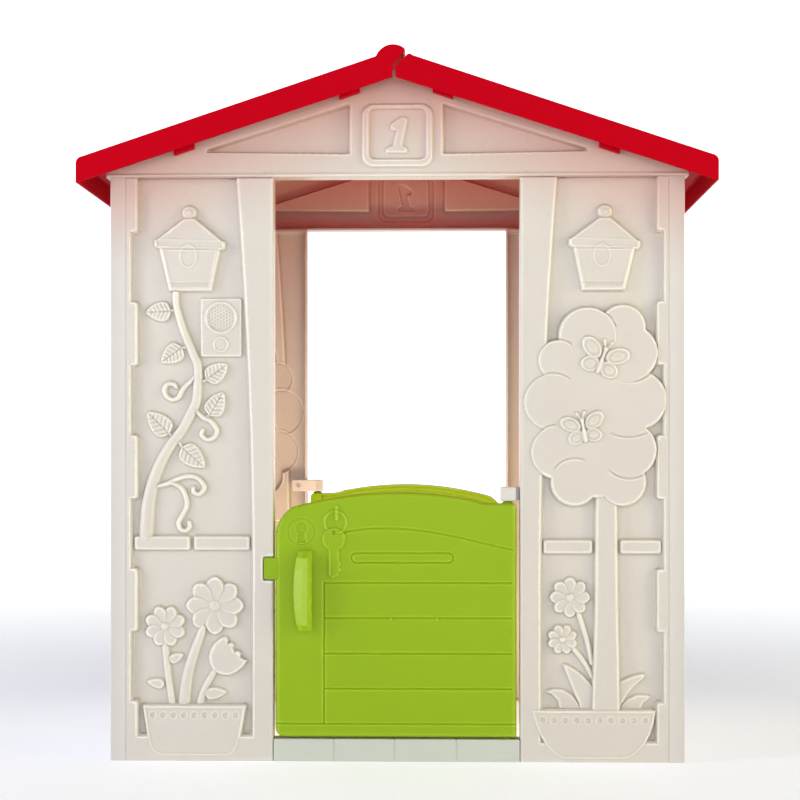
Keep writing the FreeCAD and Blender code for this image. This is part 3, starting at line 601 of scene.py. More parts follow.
def panel_ground(side, foot):
    """side is -1 for the left-hand panel and 1 for the right-hand one."""
    left, right = sorted((side * JAMB, side * SEAM))
    face = Face(left, right, 0, WALL_TOP,
                across=[side * (QUOIN_NARROW + 2), side * (QUOIN_WIDE + 2), side * (BORDER - 2.5)],
                rows=[line for low, high in QUOINS[:4] for line in (low, high) if line < 1030])
    lean = LEAN * (np.clip(face.z - LEAN_FROM, 0, None) / (WALL_TOP - LEAN_FROM)) ** 2
    follow = np.interp(np.abs(face.x), (JAMB, 252, 264, 380), (0, 1, 1, 0))
    face.x += side * lean * follow
    x, z = np.abs(face.x), face.z
    d = np.maximum(BORDER + lean - x, x - QUOIN_NARROW)
    for low, high in QUOINS:
        d = np.maximum(d, -slab(x, z, QUOIN_WIDE, low, 520, high, 8))
    d = np.maximum(d, foot - z)
    face.height = FIELD * rise(d - 3.2, 3.4)
    return face


print("a panel is", SEAM - JAMB, "mm wide and", WALL_TOP, "mm high")

# %% [markdown]
# ### Stones and lamps
# The string course is a row of low stones with rounded corners. The carriage lamp is a tapering glass
# under a hat with a rolled brim, with a knob on top. The two lamps lean a little, each its own way.

# %% Stone and lamp
def block(face, left, low, right, high):
    """One stone of the string course."""
    face.lift((left - 2, low - 2, right + 2, high + 2),
              lambda x, z: FIELD + 9 * rise(slab(x, z, left, low, right, high, 6), 5))


def lantern(face, cx, lean):
    """A carriage lamp: a tapering glass, a hat with a brim and a knob."""
    def upright(points):
        return [(cx + dx + lean * (z - 838), z) for dx, z in points]

    def in_glass(x, z):
        return polygon(x, z, glass, 2)

    def egg_ring(x, z):
        return np.hypot((x - cx + 2.6) / 14.3, (z - 894.5) / 19.5) - 1

    glass = upright([(-36.5, 834), (37.5, 834), (54, 908), (-54, 911)])
    hat = upright([(-57.5, 910), (58.5, 906.5), (59, 918.5), (9, 960), (-9, 960), (-58, 923)])
    box = (cx - 80, 815, cx + 80, 990)
    face.lift(box, lambda x, z: FIELD + 10.5 * rise(in_glass(x, z), 4.5))
    face.add(box, lambda x, z: -groove(in_glass(x, z) + 6.5, 2.4, 1.5) * (z > 838) * (z < 906))
    face.add(box, lambda x, z: groove(z - 847, 1.2, 1.0) * rise(in_glass(x, z), 3))
    face.lift(box, lambda x, z: FIELD + 11.6 * rise(polygon(x, z, hat, 2.5), 4))
    for left, right in ((924.5, 920.5), (911.5, 907.5)):
        ridge = upright([(-56, left), (57, right)])
        face.add(box, lambda x, z: 0.8 * rod(stroke(x, z, ridge, [4, 4])))
    for end, high in ((-59, 918), (59.5, 914)):
        tip = upright([(end, high - 3.5), (end, high + 3.5)])
        face.lift(box, lambda x, z: FIELD + 13.5 * rod(stroke(x, z, tip, [9, 9])))
    knob = (cx + lean * 132, 971.5)
    face.lift(box, lambda x, z: FIELD + 13.5 * rod(np.hypot(x - knob[0], z - knob[1]) / 13.4))
    face.add(box, lambda x, z: -2.2 * rise(disc(x, z, *knob, 8.6), 2))
    face.add(box, lambda x, z: -groove(egg_ring(x, z), 0.1, 1.5))


print("ornament rises from", FIELD, "mm")

# %% [markdown]
# ### Leaves and flowers
# The leaves are small hearts with a pressed midrib and side veins. A flower is a ring of petals that
# lie over each other like roof tiles, so each petal is tilted a little, and the highest one shows.

# %% Leaf and flower
LEAF_PLACES = (-0.07, 0.0, 0.07, 0.18, 0.34, 0.54, 0.74, 0.9, 1.0)
LEAF_HALVES = (0.0, 0.55, 0.84, 0.98, 1.0, 0.88, 0.62, 0.32, 0.0)
PETAL_PLACES = (0, 0.25, 0.5, 0.7, 0.86, 0.95, 1.0)
PETAL_HALVES = (0.06, 0.17, 0.30, 0.325, 0.24, 0.13, 0.0)
PETALS, PETAL_TALL = 8, 7.5


def leaf(face, base, tip, wide, stalk=None, veins=True, tall=7.0):
    """A leaf from its base to its tip, with its stalk if it has one."""
    bx, bz = base
    dx, dz = tip[0] - bx, tip[1] - bz
    long = math.hypot(dx, dz)
    ux, uz = dx / long, dz / long

    def shape(x, z):
        s = ((x - bx) * ux + (z - bz) * uz) / long
        v = (x - bx) * -uz + (z - bz) * ux
        half = np.interp(s, LEAF_PLACES, LEAF_HALVES) * wide / 2
        d = (np.abs(v) - half) * 0.85
        d = np.maximum(d, np.maximum(s - 1, -0.07 - s) * long)
        body = tall * rise(d, 3.4)
        if veins:
            body -= 2.2 * np.exp(-(v / 1.4) ** 2) * (d < 0)
            for start in (0.02, 0.19, 0.36, 0.53, 0.7):
                off = (s - start - 0.42 * np.abs(v) / wide) * long
                body -= 1.7 * np.exp(-(off / 1.25) ** 2) * rise(d + 2.5, 2.5)
        return FIELD + np.maximum(body, 0)
    face.lift(about([base, tip], wide), shape)
    if stalk:
        draw_line(face, FIELD, [base, stalk], 6.5, 4.5)


def flower(face, cx, cz, reach, eye, turn):
    """A ring of tilted petals round a domed eye."""
    def shape(x, z):
        best = np.zeros(x.shape)
        for k in range(PETALS):
            angle = math.radians(turn + 360 * k / PETALS)
            ux, uz = math.sin(angle), math.cos(angle)
            s = ((x - cx) * ux + (z - cz) * uz) / reach
            v = (x - cx) * uz - (z - cz) * ux
            half = np.interp(s, PETAL_PLACES, PETAL_HALVES) * reach
            d = np.maximum(np.abs(v) - half, np.maximum(-s, s - 1) * reach)
            best = np.maximum(best, rise(d, 2.8) * (PETAL_TALL + 1.5 * v / (0.3 * reach)))
        return FIELD + best
    face.lift(around(cx, cz, reach + 4), shape)
    face.lift(around(cx, cz, eye + 2),
              lambda x, z: FIELD + PETAL_TALL + 5.0 * rod(np.hypot(x - cx, z - cz) / eye) - 1)


def flower_box(face, outline, rim_z, dimples, tall):
    """A planter with a bright lip and a row of dimples under it."""
    box = about(outline, 6)
    face.lift(box, lambda x, z: FIELD + tall * rise(polygon(x, z, outline, 3), 4))
    face.add(box, lambda x, z: -1.3 * rise(polygon(x, z, outline, 3) + 5.5, 2.5))
    for x0 in dimples:
        def dimple(x, z):
            far = np.hypot(x - x0, z - rim_z)
            return -1.7 * rod(far / 5.6) - groove(far - 6.4, 1.2, 0.9)
        face.add(around(x0, rim_z, 9), dimple)


print("a flower has", PETALS, "petals")

# %% [markdown]
# ### The vine panel
# On the left-hand panel a vine climbs from the string course to the lamp. Its stem and tendrils are
# smooth lines with a round back, and its leaves hang on short stalks.

# %% The vine panel
def panel_rounding(x, z):
    """The doorway edge is well rounded, the seam beside the corner hardly."""
    return np.where(np.abs(x) < 300, 5.0, 1.6) * np.where(z > WALL_TOP - 8, 0.6, 1) + 0 * x


vine = panel_ground(-1, 47)
lantern(vine, -366.3, -0.01)
STEM = [(-392, 829), (-390.6, 804), (-379, 765), (-363.4, 726.5), (-353, 700.7), (-353, 669.6),
        (-355.3, 638), (-366.4, 613.5), (-380, 588.6), (-400, 561.6), (-416, 534.8), (-429.6, 503),
        (-438.6, 471.6), (-443, 437.7), (-445.3, 396)]
draw_line(vine, FIELD, STEM, [13, 13, 14, 15, 16, 17, 18, 18, 18, 19, 20, 22, 24, 26, 27], 11)
TENDRILS = [
    [(-356, 684), (-364, 674), (-378, 661), (-387, 645), (-398, 640.5), (-409, 647), (-412.6, 658),
     (-407, 667.5), (-395.7, 667.5), (-392, 663)],
    [(-357, 632), (-355, 620), (-344, 609), (-330, 602), (-321, 591), (-319, 582), (-326, 572), (-337, 569.6),
     (-346, 577.5), (-344, 586.5)],
    [(-432, 485), (-424, 487), (-407, 491), (-391, 498.6), (-373, 504), (-355, 502), (-343, 490),
     (-342, 480.6), (-351, 472.7), (-360, 476), (-361, 484)],
    [(-404, 492), (-396, 491), (-382, 483), (-374, 467), (-373, 451), (-380, 435.6), (-387, 422),
     (-384, 411), (-375, 407.5), (-367.6, 414), (-368.7, 423)]]
for line in TENDRILS:
    draw_line(vine, FIELD, line, [7, 8] + [9.5] * (len(line) - 3) + [8], 7.5)
LEAVES = [
    ((-403.5, 797.5), (-447, 795.5), 37, (-391, 802)), ((-383, 731.5), (-418.5, 706), 37, (-366, 736)),
    ((-335.5, 677), (-299, 704), 37, (-352, 668)), ((-330.5, 614), (-307, 655), 37, (-342, 606)),
    ((-405.5, 581.5), (-443.5, 619.5), 40, (-395, 573)), ((-379, 554), (-340, 519), 40, (-388, 566))]
for numbers in LEAVES:
    leaf(vine, *numbers)
print("the vine has", len(LEAVES), "leaves and", len(TENDRILS), "tendrils")

# %% [markdown]
# ### The intercom
# A small plate beside the vine holds a speaker and a button. Three crossed waves make the speaker's
# holes: where their crests meet there is a hole, and each hole gets six neighbours.

# %% The intercom
PLATE = (-348.5, 715.5, -274, 820.5)
vine.lift((-352, 712, -270, 824), lambda x, z: FIELD + 5.5 * rise(slab(x, z, *PLATE, 4.5), 3))
SPEAKER, BUTTON = (-311.3, 785.5), (-311.5, 738)
HOLE_PITCH = 5.2
vine.add((-345, 750, -276, 819), lambda x, z: -groove(disc(x, z, *SPEAKER, 26.8), 2.3, 2.6))


def holes(x, z):
    waves = 0
    for a in (0, math.pi / 3, 2 * math.pi / 3):
        along = (x - SPEAKER[0]) * math.cos(a) + (z - SPEAKER[1]) * math.sin(a)
        waves += np.cos(along * 2 * math.pi / HOLE_PITCH)
    return -1.5 * np.clip(waves / 3 * 1.6, 0, 1) * rise(disc(x, z, *SPEAKER, 23.3), 1.5)


vine.add((-342, 757, -286, 812), holes)
vine.add((-330, 720, -295, 756), lambda x, z: 1.3 * rise(disc(x, z, *BUTTON, 9.2), 2)
         - groove(disc(x, z, *BUTTON, 12), 1.9, 2.4))
print("holes every", HOLE_PITCH, "mm")

# %% [markdown]
# ### The foot of the vine panel
# Under the string course two flowers and a tulip stand in a planter. The stems come first, and the
# flowers lie over them. The notch in the border is where the door's tab rests.

# %% The course and the planter of the vine panel
block(vine, -467, 372.3, -365.2, 399.4)
block(vine, -360.8, 372.3, -259, 399.4)
flower_box(vine, [(-415, 10.5), (-427, 15), (-435.5, 25), (-440, 42), (-448.5, 97), (-268.5, 97),
                  (-278, 42), (-283, 25), (-290, 15), (-302, 10.5)], 81,
           [-431.8 + 18.45 * k for k in range(9)], 13)
draw_line(vine, FIELD, [(-377.5, 94), (-373.5, 137), (-366.5, 169), (-356, 201), (-343, 236)],
          [22, 21, 19, 17, 14], 9)
draw_line(vine, FIELD, [(-397, 94), (-401, 120), (-405, 145), (-411, 205)], 13, 7.5)
draw_line(vine, FIELD, [(-350, 94), (-345, 115), (-336, 137), (-321, 161)], [14, 13.5, 12.5, 11], 7)
flower(vine, -322.5, 274.9, 52, 10.5, 0)
flower(vine, -411, 238, 37.8, 7.6, 22.5)
for base, tip, wide in (((-402.5, 177), (-378, 188.5), 19), ((-414, 134), (-445, 140), 20),
                        ((-338, 117), (-300, 122), 24)):
    leaf(vine, base, tip, wide, veins=False, tall=6)
TULIP = [(-333, 183), (-331, 172), (-326, 162), (-318, 155), (-307, 151.5), (-296, 151.5), (-284, 157),
         (-273, 166), (-265, 177.5), (-272, 180), (-278, 184), (-276, 190), (-280.5, 195), (-287, 193),
         (-290.5, 199), (-288, 205), (-293, 209.5), (-299.5, 207), (-299.5, 216), (-303, 220.5), (-312, 217),
         (-323, 208), (-330, 196)]
vine.lift(about(TULIP, 6), lambda x, z: FIELD + 8 * rise(polygon(x, z, TULIP, 0.8), 3))
NOTCH = (-236.6, 319.6, -200, 362.4)
vine.add((-242, 315, -217, 367), lambda x, z: -6.8 * rise(slab(x, z, *NOTCH, 3), 1.6))
vine_mesh = skin_mesh("vine_panel", vine, FACE_FRONT, RIM, rounding=panel_rounding)
place_at_both_ends("vine_panel", vine_mesh, IVORY)

# %% [markdown]
# ### The tree panel
# The tree's crown is a cloud of round lobes that covers the field and laps over both borders. Fine
# pressed arcs follow some of the lobes, and two butterflies sit on it.

# %% The tree panel
tree = panel_ground(1, 38)
lantern(tree, 365, 0.02)
TRUNK = [(344.5, 88), (394, 88), (390.5, 250), (388, 490), (352, 490), (350.5, 250)]
tree.lift(about(TRUNK, 5), lambda x, z: FIELD + 12 * rise(polygon(x, z, TRUNK, 2), 6))
CROWN = [(337, 752, 52), (399, 767, 41.5), (411, 722, 51), (285, 709, 37), (275, 635, 52),
         (424, 639, 53.5), (284.4, 547, 49), (410, 551, 50), (314, 494, 43), (398, 494, 43),
         (344, 690, 60), (348, 620, 80), (348, 550, 65), (355, 505, 40)]
CROWN_TOP = 2.8


def crown(x, z):
    return np.minimum.reduce([disc(x, z, *lobe) for lobe in CROWN])


tree.lift((219, 440, 480, 815), lambda x, z: FIELD + (CROWN_TOP - FIELD) * rise(crown(x, z), 4.2))
CREASES = [(337, 752, 52, -22, 62, -1), (285, 709, 37, 40, 122, -1), (275, 635, 52, 48, 112, -1),
           (284.4, 547, 49, 86, 132, -1), (314, 494, 43, 62, 152, -1), (411, 722, 51, -122, -20, 1),
           (408, 645.5, 71.5, -124, -56, 1), (410, 551, 50, -142, -46, 1)]
for cx, cz, radius, start, end, lip_side in CREASES:
    def crease(x, z):
        turn = np.degrees(np.arctan2(z - cz, x - cx))
        reach = np.clip(np.minimum(turn - start, end - turn) / 14, 0, 1)
        d = np.hypot(x - cx, z - cz) - radius
        return reach * (groove(d, 1.8, 2.3) - groove(d - lip_side * 3.2, 2.2, 1.2))
    tree.add(around(cx, cz, radius + 8), crease)
print("the crown has", len(CROWN), "lobes and", len(CREASES), "creases")

# %% [markdown]
# ### Butterflies
# A butterfly is drawn once in a frame of its own, with four ringed wings, a body and two feelers, and
# then leaned and sized where it sits on the crown.

# %% Butterflies
WINGS = ((-23, 10, 22, 14.5, -32), (23, 10, 22, 14.5, 32), (-16.5, -17, 17, 14, 20), (16.5, -17, 17, 14, -20))
NOWHERE = -50.0


def butterfly(face, cx, cz, lean, size):
    turn = math.radians(lean)

    def local(x, z):
        dx, dz = (x - cx) / size, (z - cz) / size
        return dx * math.cos(turn) + dz * math.sin(turn), -dx * math.sin(turn) + dz * math.cos(turn)

    def wings(x, z):
        u, w = local(x, z)
        top = np.full(x.shape, NOWHERE)
        for wx, wz, a, b, tilt in WINGS:
            t = math.radians(tilt)
            p = (u - wx) * math.cos(t) + (w - wz) * math.sin(t)
            q = -(u - wx) * math.sin(t) + (w - wz) * math.cos(t)
            share = np.hypot(p / a, q / b)
            d = (share - 1) * b * size
            wing = CROWN_TOP + 4.8 * rise(d, 3) - 2.0 * np.exp(-((share - 0.62) * b * size / 2.2) ** 2)
            top = np.maximum(top, np.where(d < 0, wing, NOWHERE))
        return top

    def line(points, wide, high):
        placed = [(cx + size * (u * math.cos(turn) - w * math.sin(turn)),
                   cz + size * (u * math.sin(turn) + w * math.cos(turn))) for u, w in points]
        face.lift(box, lambda x, z: CROWN_TOP + high * rod(stroke(x, z, placed, [wide] * len(placed))))

    box = around(cx, cz, 52 * size)
    face.lift(box, wings)
    line([(0, 13), (0, -8)], 6, 7.5)
    line([(0, -6), (0, -25)], 8.5, 7.5)
    line([(0, 15), (0, 13)], 8.5, 8)
    for side in (-1, 1):
        line([(0, 16), (side * 4, 22), (side * 7, 27.5)], 3.6, 3)
        line([(side * 7, 27.5), (side * 7.4, 28.3)], 6.4, 4)


butterfly(tree, 363.5, 714, -20, 1.04)
butterfly(tree, 329, 590.5, 11, 0.92)
print("a butterfly has", len(WINGS), "wings")

# %% [markdown]
# ### The foot of the tree panel
# Two stones lie beside the trunk. Below them stand two flowers, four blades of grass, which overlap in
# pairs, and a bowl-shaped planter.

# %% The course and the planter of the tree panel
block(tree, 257.8, 366.8, 347, 393.4)
block(tree, 393, 366.8, 468.4, 393.4)
draw_line(tree, FIELD, [(320, 266), (330, 236), (339, 205), (345, 175)], 10, 6.5)
draw_line(tree, FIELD, [(311, 202), (324, 186), (336, 169), (346, 151)], 10, 6)
flower(tree, 306.2, 290.8, 36.3, 7.6, 0)
flower(tree, 293, 216.6, 27.6, 6, 22.5)
BLADES = [
    [(262.3, 124.6), (276.2, 129.1), (293.6, 128.1), (309.3, 118.7), (322.2, 102.3), (326, 88), (289, 88),
     (284.9, 108.2), (274.5, 118.7)],
    [(292.9, 173.3), (301.3, 171.6), (318, 162.2), (331.9, 150), (349, 132), (352, 88), (325, 88),
     (322.2, 102.3), (312.8, 123.9), (302.3, 150)],
    [(450.2, 115.2), (441.5, 118.7), (422.4, 118.7), (408.5, 111.7), (397.3, 101.3), (394, 88), (427, 88),
     (436.3, 104.7)],
    [(390, 141), (415.4, 151.7), (432.8, 156.3), (439.1, 154.5), (436.3, 148.2), (420.6, 134.3),
     (408.5, 120.4), (397.3, 102.3), (394, 88), (386, 88)]]
for blade, tall in zip(BLADES, (5, 6.5, 5, 6.5)):
    tree.lift(about(blade, 3), lambda x, z: FIELD + tall * rise(polygon(x, z, blade, 0.4), 2.8))
flower_box(tree, [(241, 90.5), (242, 82), (247.5, 66), (255, 48), (265, 31), (277.5, 17.5), (291, 9),
                  (303, 7.5), (397, 7.5), (409, 9.5), (422.5, 18), (435.5, 32), (445.5, 50), (451.5, 70),
                  (455.3, 90.5)],
           74.5, [257.6 + 20.05 * k for k in range(10)], 13.5)
tree_mesh = skin_mesh("tree_panel", tree, FACE_FRONT, RIM, rounding=panel_rounding)
place_at_both_ends("tree_panel", tree_mesh, IVORY)

# %% [markdown]
# ## The gable
# A low triangle lies on the panels under each end of the roof. Two sunk triangles lighten it and a
# raised plate in the middle carries the house number. Its grid has a sloping upper edge, with a notch
# at the top that clears the joint of the roof.

# %% The gable
GABLE_HALF, GABLE_APEX, GABLE_NOTCH, GABLE_FRONT = 514.0, 1246.0, 1221.5, 420


def gable_top(x):
    return min(GABLE_NOTCH, GABLE_APEX - EAVE_FALL * abs(x))


gable = Face(-GABLE_HALF, GABLE_HALF, WALL_TOP, gable_top, step=1.7, across=(-73, 73))
for side in (-1, 1):
    hollow = [(side * 333, 1080), (side * 85, 1076), (side * 85, 1158)]
    gable.add(about(hollow, 8), lambda x, z: -13 * rise(polygon(x, z, hollow, 3), 4.5))
gable.add((-72, 1040, 78, 1170), lambda x, z: 5 * rise(slab(x, z, -61, 1049.2, 64.8, 1161, 21), 3.6)
          - 5 * rise(slab(x, z, -49.2, 1062.8, 53.4, 1153, 12), 3.2))
NUMERAL = [(-17, 1074.5), (17.5, 1074.5), (19.6, 1078), (19.2, 1082), (16, 1085), (11.5, 1086.5),
           (10.2, 1090), (19.6, 1133), (17.5, 1137), (7.5, 1137.4), (1.5, 1133), (-8, 1126), (-10.5, 1121.5),
           (-9.6, 1116.5), (-5.5, 1114), (0.5, 1113), (-6, 1087.5), (-11.5, 1085.6), (-16.5, 1083),
           (-18.6, 1079)]
gable.add(about(NUMERAL, 4), lambda x, z: 3.6 * rise(polygon(x, z, NUMERAL, 0.6), 2.4))
gable.add((-GABLE_HALF, 1030, GABLE_HALF, 1046), lambda x, z: -groove(z - 1036.5, 2.6, 2.2))
for side in (-1, 1):
    gable.add((side * 230 - 9, 1036, side * 230 + 9, 1054),
              lambda x, z: -0.8 * rod(np.hypot(x - side * 230, z - 1044) / 4.5))


def gable_edge(x, z):
    under_roof = (z - GABLE_APEX + EAVE_FALL * np.abs(x)) * 0.948
    return np.maximum.reduce([np.abs(x) - GABLE_HALF, WALL_TOP - z, under_roof])


gable_mesh = skin_mesh("gable", gable, GABLE_FRONT, RIM, outline=gable_edge, rounding=3.0)
place_at_both_ends("gable", gable_mesh, IVORY)

# %% [markdown]
# ## The side walls
# Each side is one wide shallow tray between the corners, drawn in the manner of the panels: corner
# stones, a framed window with an arched head and a sill, a string course and runs of planks below it.

# %% The side wall
WINDOW_HALF, SILL, SPRING, HEAD = 170.0, 480.0, 790.0, 850.0
SIDE_FACE, SIDE_DEEP, SIDE_FIELD = 507.5, 27.5, -8.0
SIDE_BORDER, SIDE_QUOIN, SIDE_FOOT, SIDE_TOP = 376, 352, 46, 992
PLANKS, STONE_PITCH = (112, 176, 240, 304), 102


def window(x, z, grow=0.0):
    half = WINDOW_HALF + grow
    sides = np.maximum(np.abs(x) - half, SILL - grow - z)
    radius = (half ** 2 + (HEAD - SPRING) ** 2) / (2 * (HEAD - SPRING))
    return np.maximum(sides, np.hypot(x, z - (HEAD + grow - radius)) - radius)


side_face = Face(-415, 415, 0, WALL_TOP, step=STEP * 1.6)
off_middle = np.abs(side_face.x)
side_low = np.maximum.reduce([off_middle - SIDE_BORDER, SIDE_FOOT - side_face.z, side_face.z - SIDE_TOP]
                             + [-slab(off_middle, side_face.z, SIDE_QUOIN, low, 520, high, 4)
                                for low, high in QUOINS])
side_face.height = SIDE_FIELD * rise(side_low - 3.2, 3.6)
side_face.lift((-230, 430, 230, 900), lambda x, z: SIDE_FIELD + 8 * rise(window(x, z, 26), 7))
side_face.add((-200, 460, 200, 880), lambda x, z: -3 * rise(window(x, z, 12), 3))
side_face.lift((-230, 430, 230, 470),
               lambda x, z: SIDE_FIELD + 7.6 * rise(slab(x, z, -212, 436, 212, 464, 8), 7))
for k in range(-3, 4):
    cx = STONE_PITCH * k
    side_face.lift((cx - 52, 366, cx + 52, 400), lambda x, z: SIDE_FIELD + 7 * rise(
        slab(x, z, cx - 49.5, 368, cx + 49.5, 397, 8), 6.5))
side_face.add((-345, 60, 345, 350), lambda x, z: sum(groove(z - line, 2.4, 2.0) for line in PLANKS)
              * rise(np.abs(x) - 340, 10))
TO_LEFT = Matrix.Rotation(-math.pi / 2, 4, "Z")
side_mesh = skin_mesh("side_wall", side_face, SIDE_FACE, SIDE_DEEP, hole=window, side=TO_LEFT, keep=0.5,
                      rounding=2.0)

# %% [markdown]
# ### Blocks, and the rail on the side wall
# A solid block starts as a cube whose edges are bevelled. Where its corners have to be rounder as seen
# from the front, those four edges are bevelled first. A rail on top of the side wall closes it under
# the roof.

# %% Blocks and the rail
def box_mesh(name, low, high, bevel=0.0, segments=3, corner=0.0):
    """A block with rounded edges, in millimetres, and larger corners as seen from the front if asked."""
    work = bmesh.new()
    bmesh.ops.create_cube(work, size=1)
    for v in work.verts:
        v.co = Vector([(low[i] + high[i]) / 2 + v.co[i] * (high[i] - low[i]) for i in range(3)]) / 1000
    if corner:
        along = [e for e in work.edges if abs((e.verts[0].co - e.verts[1].co).y) > 1e-6]
        bmesh.ops.bevel(work, geom=along, offset=corner / 1000, segments=6, affect="EDGES", profile=0.5)
    if bevel:
        sharp = [e for e in work.edges if e.calc_face_angle(0) > 0.8] if corner else list(work.edges)
        bmesh.ops.bevel(work, geom=sharp, offset=bevel / 1000, segments=segments, affect="EDGES",
                        profile=0.6)
    mesh = bpy.data.meshes.new(name)
    work.to_mesh(mesh)
    work.free()
    return mesh


def joined(name, meshes):
    """Several meshes as one."""
    work = bmesh.new()
    for mesh in meshes:
        work.from_mesh(mesh)
    whole = bpy.data.meshes.new(name)
    work.to_mesh(whole)
    work.free()
    return whole


RAIL_HALF, RAIL_TOP = 372, 1076
rail = box_mesh("rail", (-SIDE_FACE, -RAIL_HALF, WALL_TOP - 6), (-SIDE_FACE + WALL, RAIL_HALF, RAIL_TOP), 1.2)
side_mesh = tidy_mesh(joined("side_wall", [side_mesh, rail]))
other_side = side_mesh.copy()
other_side.transform(TURN)
place("left_side_wall_moulding", side_mesh, "house", ["left_side_wall"], SIDE_IVORY)
place("right_side_wall_moulding", other_side, "house", ["right_side_wall"], SIDE_IVORY)
print("a side wall with its rail has", len(side_mesh.polygons), "faces")

# %% [markdown]
# ## The half door
# The door is a thick-edged tray with an arched top. Fine pressed lines make its planks and letter slot,
# and a key hangs on a hook in low relief. A stub pin at each end of the hinge side turns in the bracket
# and in the threshold, and a small tab on the free side stops it at the panel.

# %% The door's face
DOOR_LEFT, DOOR_RIGHT, DOOR_LOW = -214.0, 212.0, 43.0
DOOR_OUT, DOOR_THICK = 416.0, 36.0


def door_top(x):
    arch = 476.3 - (x - 3) ** 2 / 1343
    if x < -145:
        shoulder = 397 + math.sqrt(max(62 ** 2 - (x + 152) ** 2, 0)) if x < -152 else 459 + 0.12 * (x + 152)
        return min(arch, shoulder) if x > -213.9 else 400
    if x < 140:
        return arch
    if x < 162:
        t = (x - 140) / 22
        return arch * (1 - t) ** 2 + (457 + 3 * (1 - t)) * (1 - (1 - t) ** 2)
    return 457.0 if x < 203 else 448 + math.sqrt(max(81 - (x - 203) ** 2, 0))


def door_foot(x):
    return DOOR_LOW + (15 - math.sqrt(max(225 - (x + 199) ** 2, 0)) if x < -199 else 0)


COLUMN, PLANK_LINES, LOW_LINE = -127.8, (316, 254, 191, 129), 67
door = Face(DOOR_LEFT, DOOR_RIGHT, door_foot, door_top, across=(COLUMN,), level=(60, 372),
            rows=(LOW_LINE, 129, 191, 254, 316, 350.5, 369.4))
print("the door is", round(door_top(0) - DOOR_LOW), "mm high in the middle")

# %% [markdown]
# ### Pressed lines of the door
# A pressed line is a fine groove with a faint ridge on each side, where the plastic was pushed away.
# The same line serves for the planks, the arch, the letter slot and the keyhole's plate.

# %% Planks, arch and slot
def press(box, distance, wide=1.6, deep=1.9):
    """A pressed line with a faint ridge on each side."""
    door.add(box, lambda x, z: groove(distance(x, z), wide, deep)
             - groove(np.abs(distance(x, z)) - 3.2, 1.3, 0.35))


for line_z in PLANK_LINES:
    press((COLUMN, line_z - 9, 205, line_z + 9), lambda x, z: z - line_z)
press((-213, LOW_LINE - 9, 213, LOW_LINE + 9), lambda x, z: z - LOW_LINE)
press((-139, LOW_LINE, -120, 319.5), lambda x, z: x - COLUMN)
ARCH, _ = eased([(-92.5, 405.5), (-60, 410.5), (-20, 412.3), (30, 410), (80, 402.5), (130, 392),
                 (175, 381.5), (206, 374)], 2)
press((-95, 365, 207, 425), lambda x, z: stroke(x, z, ARCH, [2] * len(ARCH)), 1.6, 1.7)
press((-95, 340, 112, 380), lambda x, z: slab(x, z, -79.5, 351.6, 100.5, 368.6, 8.4), 1.6, 1.9)
press((-200, 378, -140, 436), lambda x, z: disc(x, z, -167.8, 406.5, 23.3), 1.3, 1.1)
print("pressed lines:", len(PLANK_LINES) + 5)

# %% [markdown]
# ### Keyhole and key
# The keyhole is sunk. The key hangs from a ring on a hook, all in low relief, and two small nubs stand
# on the plank below the slot.

# %% Keyhole, key and skin of the door
KEYHOLE = [(-175, 388), (-161, 388), (-164, 401), (-171.5, 401)]
door.add((-190, 380, -150, 430), lambda x, z: -2.2 * rise(np.minimum(
    disc(x, z, -167.8, 412.5, 10.2), polygon(x, z, KEYHOLE, 1.5)), 2))
HOOK = [(-105.5, 429), (-105.5, 451)]
door.add((-140, 395, -80, 452), lambda x, z: -groove(disc(x, z, -107.5, 423, 19.3), 2.2, 2.4)
         * (z > 406 - 0.3 * (x + 110)))
door.add((-120, 420, -96, 460), lambda x, z: 3.2 * rod(stroke(x, z, HOOK, [7, 7])))
KEY_BLADE = [(-120, 380), (-120, 329), (-112, 325), (-104, 329), (-102, 335), (-97, 338), (-101, 344),
             (-97.5, 350), (-102, 356), (-101, 362), (-103, 380)]
door.add((-140, 318, -85, 420), lambda x, z: 2.6 * rise(np.minimum(
    disc(x, z, -110.6, 393, 20.6), polygon(x, z, KEY_BLADE, 0.5)), 2)
    - 2.2 * rise(disc(x, z, -110.5, 405, 4.0), 2))
door.add((-123, 330, -108, 376), lambda x, z: groove(x + 114.5, 1.2, 0.9))
for nub in (-10, 72):
    door.add((nub - 5, 246, nub + 5, 260), lambda x, z: 2.0 * rise(disc(x, z, nub, 252.5, 3.4), 2))


def door_edge(x, z):
    tops = np.interp(x, door.x[0], door.high)
    foots = np.interp(x, door.x[0], door.low)
    shoulder = np.where((x < -152) & (z > 397), np.hypot(x + 152, z - 397) - 62, -99.0)
    corner = np.where((x < -199) & (z < 58), np.hypot(x + 199, z - 58) - 15, -99.0)
    upper = np.where(x < -175, -99.0, z - tops)
    lower = np.where(x < -199, -99.0, foots - z)
    return np.maximum.reduce([DOOR_LEFT - x, x - DOOR_RIGHT, upper, lower, shoulder, corner])


DOOR_WALL = 5.0
door_mesh = skin_mesh("door", door, DOOR_OUT, DOOR_THICK, DOOR_WALL, outline=door_edge, rounding=8.0,
                      draft=1.4)

# %% [markdown]
# ### The door's pins, post and tab
# Pins are turned shapes: a short profile spun round the hinge line.

# %% Pins, post and tab
HINGE_X, HINGE_Y = 196.0, -397.5


